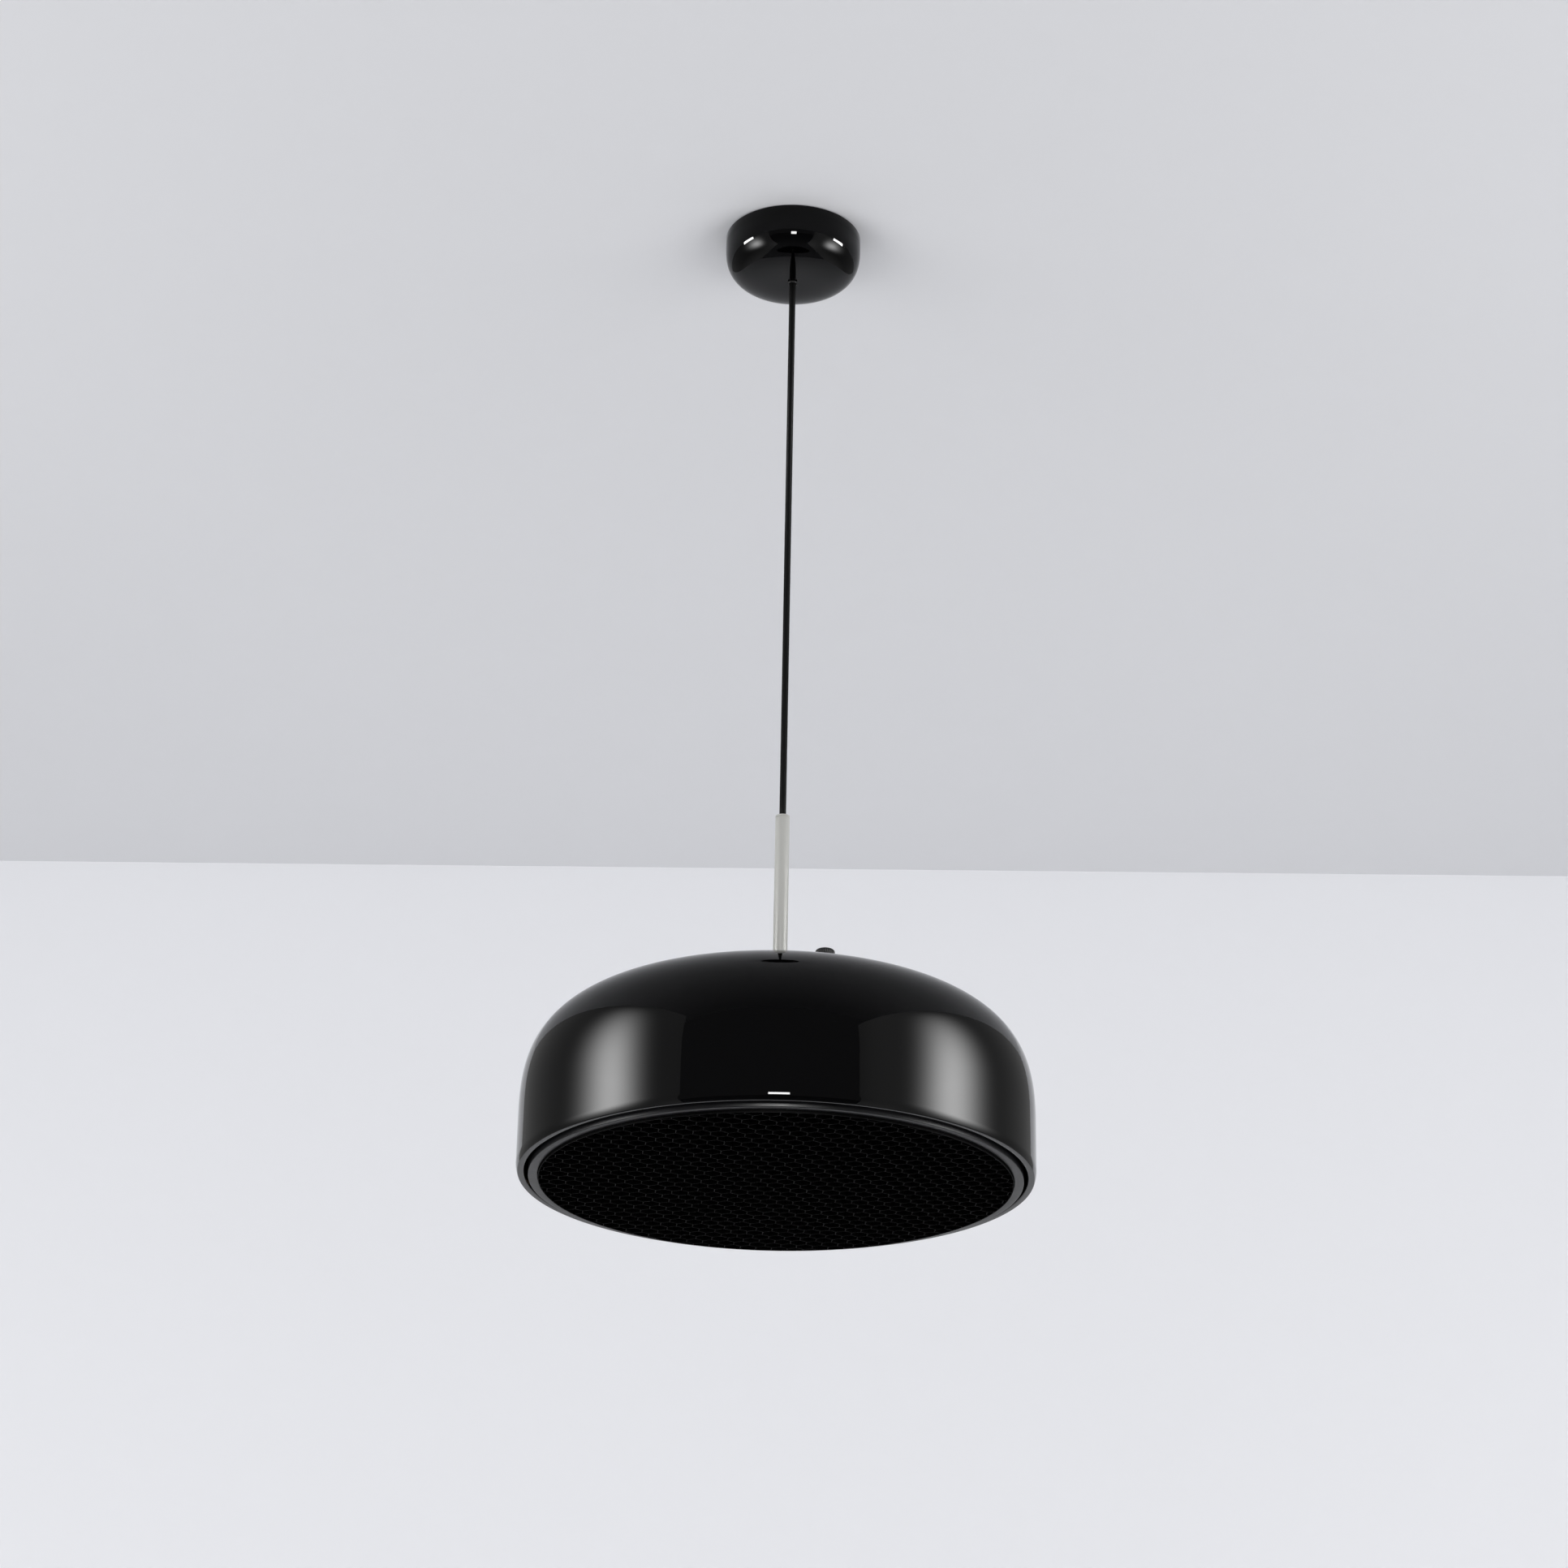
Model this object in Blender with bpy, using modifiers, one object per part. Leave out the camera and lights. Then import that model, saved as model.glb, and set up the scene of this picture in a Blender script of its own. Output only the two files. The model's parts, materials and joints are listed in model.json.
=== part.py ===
"""Pendant ceiling light, modelled as its real assembly.

A ceiling cup covers the fixing plate and the mains connection.  A cord drops from the cup to a slim
stem that carries a domed shade with a push switch on top.  A ring with a honeycomb louvre closes the
shade from below and is held by three bronze leaf clips.

Metres, +Z up.  z = 0 is the ceiling, and the lamp hangs along -Z on the Z axis.
"""
import math

import bmesh
import bpy
from mathutils import Matrix, Vector

CLEAR = 0.0003  # gap kept between pieces that touch

# Shade: a straight wall below a superelliptic dome, with a rolled rim
RIM_Z = -0.838
SHADE_RADIUS = 0.200
SHADE_HEIGHT = 0.1446
SHADE_WALL = 0.0384
SHADE_SHEET = 0.0015
LIP_RADIUS = 0.1934
LIP_HEIGHT = 0.0056
DOME_TOP_Z = RIM_Z + SHADE_HEIGHT
DOME_FLAT = 4.24  # superellipse exponent along the radius
DOME_ROUND = 2.98  # superellipse exponent along the height

# Ceiling cup: the same form, smaller and turned upside down
CUP_RADIUS = 0.0576
CUP_DEPTH = 0.0413
CUP_WALL = 0.0079
CUP_SHEET = 0.0012

# Cord, and the bushes that it swings in
CORD_RADIUS = 0.0027
BUSH_BORE = 0.00305
COLLAR_RADIUS = 0.0040
COLLAR_HEIGHT = 0.0020
BUSH_NECK = 0.0036
CUP_PIVOT_Z = -(CUP_DEPTH + COLLAR_HEIGHT)
STEM_TOP_Z = RIM_Z + 0.303

# Stem
STEM_RADIUS = 0.00575
STEM_BORE = 0.00475
STEM_CAP = 0.0015
NIPPLE_RADIUS = 0.0043
NIPPLE_BORE = 0.0031
HOLDER_TOP_Z = DOME_TOP_Z - 0.0082

# Fixing plate and what hangs under it, all inside the cup
PLATE_RADIUS = 0.046
PLATE_SHEET = 0.0016
PLATE_SCREW_X = 0.034
CLAMP_SCREW_X = 0.0105
CLAMP_TOP_Z = -0.011
CLAMP_BOTTOM_Z = -0.018
TERMINAL_PITCH = 0.010
TERMINAL_Y = 0.0180
TERMINAL_DEPTH = 0.012
WIRE_RADIUS = 0.0007

# Push switch on the dome
SWITCH_X = 0.0342
SWITCH_Y = -0.0955
SWITCH_HOLE = 0.0048
SWITCH_NECK = 0.0044
BUTTON_RADIUS = 0.0075
BUTTON_TOP = 0.0125  # above the dome
BUTTON_TRAVEL = 0.0025

# Louvre insert
RING_OUTER = 0.1903
RING_INNER = 0.1830
RING_DROP = 0.0025  # below the shade's rim
RING_HEIGHT = 0.0165
RING_SHEET = 0.0015
LOUVRE_DROP = 0.0043
LOUVRE_TOP = 0.0080
CELL_PITCH = 0.0512
CELL_WALL = 0.0020
CELL_TURN = math.radians(7.0)
CLIP_ANGLES = {"a": math.radians(172.0), "b": math.radians(292.0), "c": math.radians(52.0)}
CLIP_LENGTH = 0.036
CLIP_HEIGHT = 0.010
CLIP_SHEET = 0.0005
CLIP_CREST = LIP_RADIUS - CLEAR

PARTS = "pendant_light"
CUTTERS = "cutters"


def clear_scene():
    for obj in list(bpy.data.objects):
        bpy.data.objects.remove(obj, do_unlink=True)


def collection(name):
    found = bpy.data.collections.new(name)
    bpy.context.scene.collection.children.link(found)
    return found


def material(name, colour, roughness, metallic=0.0):
    made = bpy.data.materials.new(name)
    made.use_nodes = True
    shader = made.node_tree.nodes["Principled BSDF"]
    shader.inputs["Base Color"].default_value = (*colour, 1.0)
    shader.inputs["Roughness"].default_value = roughness
    shader.inputs["Metallic"].default_value = metallic
    return made


def black_gloss(name):
    return material(name, (0.008, 0.008, 0.009), 0.08)


def black_plastic(name):
    return material(name, (0.015, 0.015, 0.016), 0.45)


def white_plastic(name):
    return material(name, (0.80, 0.80, 0.78), 0.40)


def steel(name):
    return material(name, (0.55, 0.55, 0.56), 0.35, 1.0)


def brass(name):
    return material(name, (0.72, 0.50, 0.22), 0.30, 1.0)


def bronze(name):
    return material(name, (0.62, 0.32, 0.12), 0.25, 1.0)


def finish(obj, name, look, parent, at, group=PARTS):
    """Name an object, give it its material, and place its origin at a world point under its parent."""
    obj.name = name
    obj.data.name = name
    if look is not None:
        obj.data.materials.clear()
        obj.data.materials.append(look(name))
    for held in list(obj.users_collection):
        held.objects.unlink(obj)
    bpy.data.collections[group].objects.link(obj)
    base = Vector((0.0, 0.0, 0.0))
    if parent is not None:
        obj.parent = parent
        base = Vector(parent["world"])
    obj.location = Vector(at) - base
    return obj


def pivot(name, at, parent=None):
    """An empty on a joint's axis, which carries the pieces that move with it."""
    empty = bpy.data.objects.new(name, None)
    bpy.data.collections[PARTS].objects.link(empty)
    base = Vector(parent["world"]) if parent else Vector((0.0, 0.0, 0.0))
    empty.parent = parent
    empty.location = Vector(at) - base
    empty["world"] = tuple(at)
    return empty


def turned(profile, steps, closed=True):
    """Solid of revolution about Z from an (r, z) outline that runs down its outer side."""
    mesh = bpy.data.meshes.new("turned")
    edges = [(i, i + 1) for i in range(len(profile) - 1)]
    if closed:
        edges.append((len(profile) - 1, 0))
    mesh.from_pydata([(r, 0.0, z) for r, z in profile], edges, [])
    obj = bpy.data.objects.new("turned", mesh)
    bpy.context.scene.collection.objects.link(obj)
    screw = obj.modifiers.new("turn", "SCREW")
    screw.axis = "Z"
    screw.angle = 2 * math.pi
    screw.steps = steps
    screw.render_steps = steps
    screw.use_merge_vertices = True
    screw.merge_threshold = 0.00001
    screw.use_smooth_shade = True
    return obj


def cylinder(radius, z0, z1, sides=16, x=0.0, y=0.0):
    bpy.ops.mesh.primitive_cylinder_add(vertices=sides, radius=radius, depth=z1 - z0)
    obj = bpy.context.active_object
    obj.data.transform(Matrix.Translation((x, y, (z0 + z1) / 2)))
    return obj


def cross_cylinder(radius, start, length, turn, tilt=90.0, sides=12):
    """Cylinder from a start point along a direction: turn about Z, and tilt away from +Z, in degrees."""
    bpy.ops.mesh.primitive_cylinder_add(vertices=sides, radius=radius, depth=length)
    obj = bpy.context.active_object
    aim = Matrix.Rotation(math.radians(turn), 4, "Z") @ Matrix.Rotation(math.radians(tilt), 4, "Y")
    obj.data.transform(Matrix.Translation(start) @ aim @ Matrix.Translation((0, 0, length / 2)))
    return obj


def box(x0, x1, y0, y1, z0, z1):
    bpy.ops.mesh.primitive_cube_add(size=1.0)
    obj = bpy.context.active_object
    middle = Matrix.Translation(((x0 + x1) / 2, (y0 + y1) / 2, (z0 + z1) / 2))
    obj.data.transform(middle @ Matrix.Diagonal((x1 - x0, y1 - y0, z1 - z0, 1.0)))
    return obj


def joined(tool, other, operation):
    """Boolean with a second object, which becomes a hidden cutter under the first one."""
    number = len(bpy.data.collections[CUTTERS].objects)
    finish(other, f"cutter_{number}", None, None, (0.0, 0.0, 0.0), CUTTERS)
    other.parent = tool
    other.hide_render = True
    other.display_type = "WIRE"
    step = tool.modifiers.new(operation.lower(), "BOOLEAN")
    step.operation = operation
    step.object = other
    return tool


def cut(tool, *others):
    for other in others:
        joined(tool, other, "DIFFERENCE")
    return tool


def smooth_route(points, spacing):
    """Points about evenly spaced on a Catmull-Rom curve through a route's own points."""
    pts = [Vector(p) for p in points]
    pts = [pts[0] * 2 - pts[1], *pts, pts[-1] * 2 - pts[-2]]
    out = []
    for a, b, c, d in zip(pts, pts[1:], pts[2:], pts[3:]):
        steps = max(2, round((c - b).length / spacing))
        for i in range(steps):
            t = i / steps
            out.append(
                0.5 * (2 * b + (c - a) * t + (2 * a - 5 * b + 4 * c - d) * t * t
                       + (3 * b - a - 3 * c + d) * t ** 3)
            )
    return [*out, pts[-2]]


def tube(points, radius, radii=None, resolution=2):
    """Round tube with filled caps along a list of points, each with an optional share of the radius."""
    curve = bpy.data.curves.new("tube", "CURVE")
    curve.dimensions = "3D"
    curve.bevel_depth = radius
    curve.bevel_resolution = resolution
    curve.use_fill_caps = True
    spline = curve.splines.new("POLY")
    spline.points.add(len(points) - 1)
    for i, (knot, point) in enumerate(zip(spline.points, points)):
        knot.co = (*point, 1.0)
        knot.radius = radii[i] if radii else 1.0
    obj = bpy.data.objects.new("tube", curve)
    bpy.context.scene.collection.objects.link(obj)
    return obj


def dome_outline(radius, height, wall, count, top_radius, flat=DOME_FLAT, roundness=DOME_ROUND):
    """(r, z) points from the hole at the top of a superelliptic dome down to its straight wall."""
    points = []
    for i in range(count + 1):
        t = 0.5 * math.pi * (1 - i / count)
        r = radius * math.cos(t) ** (2 / flat)
        z = wall + (height - wall) * math.sin(t) ** (2 / roundness)
        points.append((max(r, top_radius), z if i else height))
    return points


def dome_height(r):
    """Height of the shade's outer surface above its rim at a radius."""
    share = (1 - (r / SHADE_RADIUS) ** DOME_FLAT) ** (1 / DOME_ROUND)
    return SHADE_WALL + (SHADE_HEIGHT - SHADE_WALL) * share


# ---- ceiling side ----


def make_plate(root):
    """Round steel fixing plate with two slots for the ceiling screws and two holes for the clamp."""
    plate = cylinder(PLATE_RADIUS, -PLATE_SHEET, 0.0, 40)
    for side in (-1, 1):
        x = side * PLATE_SCREW_X
        slot = box(x - 0.0022, x + 0.0022, -0.006, 0.006, -0.003, 0.001)
        hole = cylinder(0.0017, -0.003, 0.001, 12, side * CLAMP_SCREW_X)
        cut(plate, slot, hole)
    finish(plate, "ceiling_plate", steel, root, (0, 0, 0))


def make_pan_screw(name, root, x, y, head_z, head_radius, head_height, shank_radius, shank_top):
    """Pan head below, shank upwards, with a cross slot in the head."""
    low = head_z - head_height
    outline = [
        (0.0, shank_top), (shank_radius, shank_top), (shank_radius, head_z), (head_radius, head_z),
        (head_radius, head_z - 0.45 * head_height), (0.72 * head_radius, low), (0.0, low),
    ]
    screw = turned(outline, 12, closed=False)
    deep = 0.4 * head_height
    reach, thin = 0.55 * head_radius, 0.14 * head_radius
    slot = box(-reach, reach, -thin, thin, low - 0.001, low + deep)
    cross = box(-thin, thin, -reach, reach, low - 0.001, low + 0.9 * deep)
    cut(screw, slot, cross)
    finish(screw, name, steel, root, (x, y, 0))


def make_plate_screws(root):
    for tag, side in (("a", -1), ("b", 1)):
        make_pan_screw(f"plate_screw_{tag}", root, side * PLATE_SCREW_X, 0.0,
                       -PLATE_SHEET - CLEAR, 0.0040, 0.0024, 0.0018, -CLEAR)


def make_clamp(root):
    """Saddle that grips the cord's sheath under the plate, on two screws."""
    top = -PLATE_SHEET - CLEAR
    clamp = box(-0.014, 0.014, -0.005, 0.005, CLAMP_BOTTOM_Z, top)
    window = box(-0.007, 0.007, -0.006, 0.006, CLAMP_TOP_Z, top + 0.001)
    bore = cylinder(CORD_RADIUS + CLEAR, CLAMP_BOTTOM_Z - 0.001, CLAMP_TOP_Z + 0.001, 16)
    cut(clamp, window, bore)
    for side in (-1, 1):
        x = side * CLAMP_SCREW_X
        cut(clamp, cylinder(0.0017, CLAMP_BOTTOM_Z - 0.001, top + 0.001, 12, x))
    finish(clamp, "cord_clamp", white_plastic, root, (0, 0, 0))
    for tag, side in (("a", -1), ("b", 1)):
        make_pan_screw(f"clamp_screw_{tag}", root, side * CLAMP_SCREW_X, 0.0,
                       CLAMP_BOTTOM_Z - CLEAR, 0.0027, 0.0018, 0.00135, -CLEAR)


def make_terminals(root):
    """Three-way terminal block with its screws, beside the clamp."""
    top = -PLATE_SHEET - CLEAR
    low = top - 0.0105
    back = TERMINAL_Y + TERMINAL_DEPTH / 2
    front = TERMINAL_Y - TERMINAL_DEPTH / 2
    block = box(-0.016, 0.016, front, back, low, top)
    for i, tag in enumerate("abc"):
        x = (i - 1) * TERMINAL_PITCH
        entry = cross_cylinder(0.0016, (x, front - 0.001, -0.0050), 0.0065, 90)
        well = cylinder(0.0024, low - 0.001, low + 0.004, 12, x, TERMINAL_Y)
        cut(block, entry, well)
        screw = cylinder(0.0020, low + 0.0005, low + 0.004 - CLEAR, 12)
        cut(screw, box(-0.003, 0.003, -0.0004, 0.0004, low - 0.001, low + 0.0013))
        finish(screw, f"terminal_screw_{tag}", brass, root, (x, TERMINAL_Y, 0))
    finish(block, "terminal_block", white_plastic, root, (0, 0, 0))


def make_core_wires(root):
    """Three insulated cores from the cut end of the sheath to the terminals."""
    looks = {
        "live": (0.20, 0.07, 0.03),
        "neutral": (0.03, 0.10, 0.40),
        "earth": (0.25, 0.50, 0.05),
    }
    end = TERMINAL_Y - TERMINAL_DEPTH / 2 + 0.004
    for i, (tag, colour) in enumerate(looks.items()):
        x = i - 1
        route = [
            (0.0018 * x, 0.0, -0.0086), (0.0020 * x, 0.0006, -0.0066), (0.0045 * x, 0.0045, -0.0050),
            (0.9 * TERMINAL_PITCH * x, 0.0090, -0.0050), (TERMINAL_PITCH * x, end, -0.0050),
        ]
        wire = tube(smooth_route(route, 0.002), WIRE_RADIUS)
        finish(wire, f"wire_{tag}", lambda name, c=colour: material(name, c, 0.4), root, (0, 0, 0))


def make_cup(root):
    """Spun cup over the plate, with a hole for the cord bush."""
    hole = BUSH_NECK + CLEAR
    outer = dome_outline(CUP_RADIUS, CUP_DEPTH, CUP_WALL, 9, hole)
    inner = dome_outline(CUP_RADIUS - CUP_SHEET, CUP_DEPTH - CUP_SHEET, CUP_WALL, 6, hole)
    edge = CLEAR
    loop = [*outer, (CUP_RADIUS, edge), (CUP_RADIUS - CUP_SHEET, edge), *reversed(inner)]
    cup = turned([(r, -z) for r, z in reversed(loop)], 36)
    finish(cup, "ceiling_cup", black_gloss, root, (0, 0, 0))


def make_cup_bush(root):
    """Threaded bush that lets the cord out of the cup, and its nut inside."""
    collar = -CUP_DEPTH - CLEAR
    neck_top = -0.0330
    bush = turned(
        [
            (BUSH_BORE, neck_top), (BUSH_NECK, neck_top), (BUSH_NECK, collar), (COLLAR_RADIUS, collar),
            (COLLAR_RADIUS, CUP_PIVOT_Z + 0.0004), (COLLAR_RADIUS - 0.0004, CUP_PIVOT_Z),
            (BUSH_BORE, CUP_PIVOT_Z),
        ],
        20,
    )
    finish(bush, "cup_bush", black_plastic, root, (0, 0, 0))
    seat = -CUP_DEPTH + CUP_SHEET + CLEAR
    nut = cylinder(0.0066, seat, seat + 0.0035, 6)
    cut(nut, cylinder(BUSH_NECK + CLEAR, seat - 0.001, seat + 0.005, 20))
    finish(nut, "bush_nut", brass, root, (0, 0, 0))


# ---- cord ----


def make_cords(root, cord_pivot, lamp_pivot):
    """The cord in three lengths: clamped in the cup, hanging free, and held inside the stem."""
    top = (0.0, 0.0, -0.0090)
    low = (0.0, 0.0, CUP_PIVOT_Z + CORD_RADIUS + 2 * CLEAR)
    upper = tube(smooth_route([top, low], 0.012), CORD_RADIUS)
    finish(upper, "cord_in_cup", black_plastic, root, (0, 0, 0))

    length = CUP_PIVOT_Z - STEM_TOP_Z
    count = 32
    points, shares = [], []
    for i in range(3):
        turn = math.radians(80 - 80 * i / 3)
        points.append((0.0, 0.0, CORD_RADIUS * math.sin(turn)))
        shares.append(math.cos(turn))
    for i in range(count + 1):
        points.append((0.0, 0.0, -length * i / count))
        shares.append(1.0)
    for i in range(1, 4):
        turn = math.radians(80 * i / 3)
        points.append((0.0, 0.0, -length - CORD_RADIUS * math.sin(turn)))
        shares.append(math.cos(turn))
    free = tube(points, CORD_RADIUS, shares)
    finish(free, "cord", black_plastic, cord_pivot, (0, 0, CUP_PIVOT_Z))

    top = STEM_TOP_Z - CORD_RADIUS - 2 * CLEAR
    low = HOLDER_TOP_Z - 0.0094
    inner = tube(smooth_route([(0, 0, 0), (0, 0, low - top)], 0.014), CORD_RADIUS)
    finish(inner, "cord_in_stem", black_plastic, lamp_pivot, (0, 0, top))


# ---- stem and lampholder ----


def make_stem(lamp):
    """Tube on the dome, closed at its top by a bush that the cord enters."""
    top = STEM_TOP_Z
    bush = turned(
        [
            (BUSH_BORE, 0.0), (STEM_RADIUS - 0.0006, 0.0), (STEM_RADIUS, -0.0006),
            (STEM_RADIUS, -STEM_CAP), (STEM_BORE - CLEAR, -STEM_CAP), (STEM_BORE - CLEAR, -0.0100),
            (BUSH_BORE, -0.0100),
        ],
        20,
    )
    finish(bush, "stem_bush", lambda n: material(n, (0.60, 0.60, 0.57), 0.4), lamp, (0, 0, top))
    foot = DOME_TOP_Z + CLEAR
    height = top - STEM_CAP - CLEAR - foot
    stem = turned([(STEM_RADIUS, height), (STEM_RADIUS, 0.0), (STEM_BORE, 0.0), (STEM_BORE, height)], 24)
    finish(stem, "stem_tube", lambda n: material(n, (0.60, 0.60, 0.57), 0.35), lamp, (0, 0, foot))
    low, high = HOLDER_TOP_Z - 0.0079, DOME_TOP_Z + 0.026
    nipple = turned(
        [(NIPPLE_RADIUS, high - low), (NIPPLE_RADIUS, 0.0), (NIPPLE_BORE, 0.0), (NIPPLE_BORE, high - low)],
        20,
    )
    finish(nipple, "stem_nipple", steel, lamp, (0, 0, low))


def make_stem_nut(lamp):
    under = DOME_TOP_Z - SHADE_SHEET - CLEAR
    hole = NIPPLE_RADIUS + CLEAR
    washer = turned([(0.012, 0.0), (0.012, -0.0012), (hole, -0.0012), (hole, 0.0)], 24)
    finish(washer, "stem_washer", steel, lamp, (0, 0, under))
    seat = under - 0.0012 - CLEAR
    nut = cylinder(0.0081, -0.0045, 0.0, 6)
    cut(nut, cylinder(hole, -0.006, 0.001, 20))
    finish(nut, "stem_nut", steel, lamp, (0, 0, seat))


def make_lampholder(lamp):
    """Screw-cap lampholder: a cap on the nipple, a ceramic insert with its contact, and a sleeve."""
    hole = NIPPLE_RADIUS + CLEAR
    cap = turned(
        [
            (hole, 0.0), (0.0150, 0.0), (0.0185, -0.0024), (0.0195, -0.0069), (0.0195, -0.0239),
            (0.0172, -0.0239), (0.0172, -0.0079), (0.0145, -0.0035), (hole, -0.0030),
        ],
        32,
    )
    finish(cap, "holder_cap", black_plastic, lamp, (0, 0, HOLDER_TOP_Z))
    insert = turned([(0.0, 0.0), (0.0169, 0.0), (0.0169, -0.006), (0.0, -0.006)], 24, closed=False)
    finish(insert, "holder_insert", white_plastic, lamp, (0, 0, HOLDER_TOP_Z - 0.0114))
    contact = turned([(0.0, 0.0), (0.0042, 0.0), (0.0030, -0.0014), (0.0, -0.0014)], 16, closed=False)
    finish(contact, "holder_contact", brass, lamp, (0, 0, HOLDER_TOP_Z - 0.0177))
    sleeve = turned(
        [
            (0.0169, 0.0), (0.0169, -0.0065), (0.0195, -0.0065), (0.0195, -0.0282), (0.0138, -0.0282),
            (0.0138, 0.0),
        ],
        32,
    )
    finish(sleeve, "holder_sleeve", black_plastic, lamp, (0, 0, HOLDER_TOP_Z - 0.0177))


def make_bulb(lamp):
    """Screw cap and opal glass envelope, which is open where it is cemented into the cap."""
    cap = turned(
        [
            (0.0, 0.0), (0.0036, 0.0), (0.0050, -0.0018), (0.0112, -0.0036), (0.0132, -0.0052),
            (0.0132, -0.0242), (0.0, -0.0242),
        ],
        24, closed=False,
    )
    finish(cap, "bulb_cap", steel, lamp, (0, 0, HOLDER_TOP_Z - 0.0195))
    neck, ball, low = 0.0130, 0.0300, 0.0780
    centre = ball - low
    glass = 0.0012
    outer = [(neck, 0.0), (0.0140, -0.0060), (0.0185, -0.0160), (0.0240, -0.0270)]
    for i in range(6):
        turn = math.radians(32 - 122 * i / 5)
        outer.append((ball * math.cos(turn) if i < 5 else 0.0, centre + ball * math.sin(turn)))
    inner = [(max(r - glass, 0.0), z + (glass if z < centre - 0.01 else 0.0)) for r, z in outer[:-1]]
    inner.append((0.0, -low + glass))
    envelope = turned([*reversed(inner), *outer], 20, closed=False)
    finish(envelope, "bulb_glass", lambda n: material(n, (0.9, 0.9, 0.88), 0.3), lamp,
           (0, 0, HOLDER_TOP_Z - 0.0440))


# ---- shade ----


def make_shade(lamp):
    """Spun aluminium dome with a rolled rim, a hole for the stem and one for the switch."""
    hole = NIPPLE_RADIUS + CLEAR
    outer = dome_outline(SHADE_RADIUS, SHADE_HEIGHT, SHADE_WALL, 11, hole)
    inner = dome_outline(
        SHADE_RADIUS - SHADE_SHEET, SHADE_HEIGHT - SHADE_SHEET, SHADE_WALL, 8, hole
    )
    rim = [
        (SHADE_RADIUS, 0.0018), (SHADE_RADIUS - 0.0018, 0.0), (LIP_RADIUS + 0.0010, 0.0),
        (LIP_RADIUS, 0.0012), (LIP_RADIUS, LIP_HEIGHT), (SHADE_RADIUS - SHADE_SHEET, LIP_HEIGHT + 0.0012),
    ]
    shade = turned([*outer, *rim, *reversed(inner)], 56)
    cut(shade, cylinder(SWITCH_HOLE, SHADE_WALL, SHADE_HEIGHT + 0.01, 20, SWITCH_X, SWITCH_Y))
    finish(shade, "shade", black_gloss, lamp, (0, 0, RIM_Z))


# ---- push switch ----


def switch_surface():
    """Height of the dome at the switch, and its slope there along x and y."""
    radius = math.hypot(SWITCH_X, SWITCH_Y)
    step = 0.001
    fall = (dome_height(radius + step) - dome_height(radius - step)) / (2 * step)
    return RIM_Z + dome_height(radius), fall * SWITCH_X / radius, fall * SWITCH_Y / radius


def lean(obj, below, slope_x, slope_y):
    """Slope the lowest face of a turned piece so that it lies on the dome."""
    depsgraph = bpy.context.evaluated_depsgraph_get()
    mesh = bpy.data.meshes.new_from_object(obj.evaluated_get(depsgraph))
    obj.modifiers.clear()
    obj.data = mesh
    for v in mesh.vertices:
        if v.co.z < below:
            v.co.z += slope_x * v.co.x + slope_y * v.co.y
    return obj


def make_switch(lamp):
    """Switch body under the dome, its threaded neck through the hole, the collar, lead and spring."""
    surface, slope_x, slope_y = switch_surface()
    at = (SWITCH_X, SWITCH_Y, surface)
    under = -SHADE_SHEET - 0.0018
    neck_top = 0.0050
    bore = 0.0025
    outline = [
        (0.0, -0.0110), (bore, -0.0110), (bore, neck_top), (SWITCH_NECK, neck_top),
        (SWITCH_NECK, under), (0.0070, under), (0.0070, -0.0180), (0.0, -0.0180),
    ]
    body = turned(outline, 24, closed=False)
    finish(body, "switch_body", black_plastic, lamp, at)

    collar = turned(
        [
            (SWITCH_NECK + CLEAR, 0.0036), (0.0070, 0.0036), (0.0077, 0.0029), (0.0077, CLEAR),
            (SWITCH_NECK + CLEAR, CLEAR),
        ],
        28,
    )
    lean(collar, 0.001, slope_x, slope_y)
    finish(collar, "switch_collar", lambda n: material(n, (0.03, 0.03, 0.032), 0.3), lamp, at)

    turns, mean_radius, wire = 4, 0.0034, 0.00035
    low = neck_top + CLEAR + wire
    high = BUTTON_TOP - 0.0026 - CLEAR - wire
    count = turns * 9
    points = [
        (
            mean_radius * math.cos(2 * math.pi * turns * i / count),
            mean_radius * math.sin(2 * math.pi * turns * i / count),
            low + (high - low) * i / count,
        )
        for i in range(count + 1)
    ]
    finish(tube(points, wire, resolution=1), "switch_spring", steel, lamp, at)

    route = [
        (SWITCH_X - 0.0045, SWITCH_Y + 0.0060, surface - 0.0140),
        (SWITCH_X - 0.0070, SWITCH_Y + 0.0110, surface - 0.0135),
        (0.0210, -0.0500, HOLDER_TOP_Z - 0.0088),
        (0.0112, -0.0270, HOLDER_TOP_Z - 0.0128),
        (0.0081, -0.0197, HOLDER_TOP_Z - 0.0150),
    ]
    lead = tube(smooth_route(route, 0.006), 0.0014)
    finish(lead, "switch_lead", black_plastic, lamp, (0, 0, 0))


def make_button(pivot_empty):
    """Domed cap over the collar, on a plunger that runs in the switch's neck."""
    surface = switch_surface()[0]
    crown = BUTTON_TOP - 0.0026
    skirt = 0.0068
    wall = 0.0012
    cap = turned(
        [
            (0.0, BUTTON_TOP), (0.0026, BUTTON_TOP - 0.0002), (0.0048, BUTTON_TOP - 0.0008),
            (0.0064, BUTTON_TOP - 0.0019), (0.0072, BUTTON_TOP - 0.0034), (BUTTON_RADIUS, 0.0080),
            (BUTTON_RADIUS, skirt), (BUTTON_RADIUS - wall, skirt), (BUTTON_RADIUS - wall, crown - 0.0006),
            (BUTTON_RADIUS - wall - 0.0012, crown), (0.0020, crown), (0.0020, -0.0075), (0.0, -0.0075),
        ],
        24, closed=False,
    )
    finish(cap, "switch_button", black_plastic, pivot_empty, (SWITCH_X, SWITCH_Y, surface))


# ---- louvre insert ----


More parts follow.
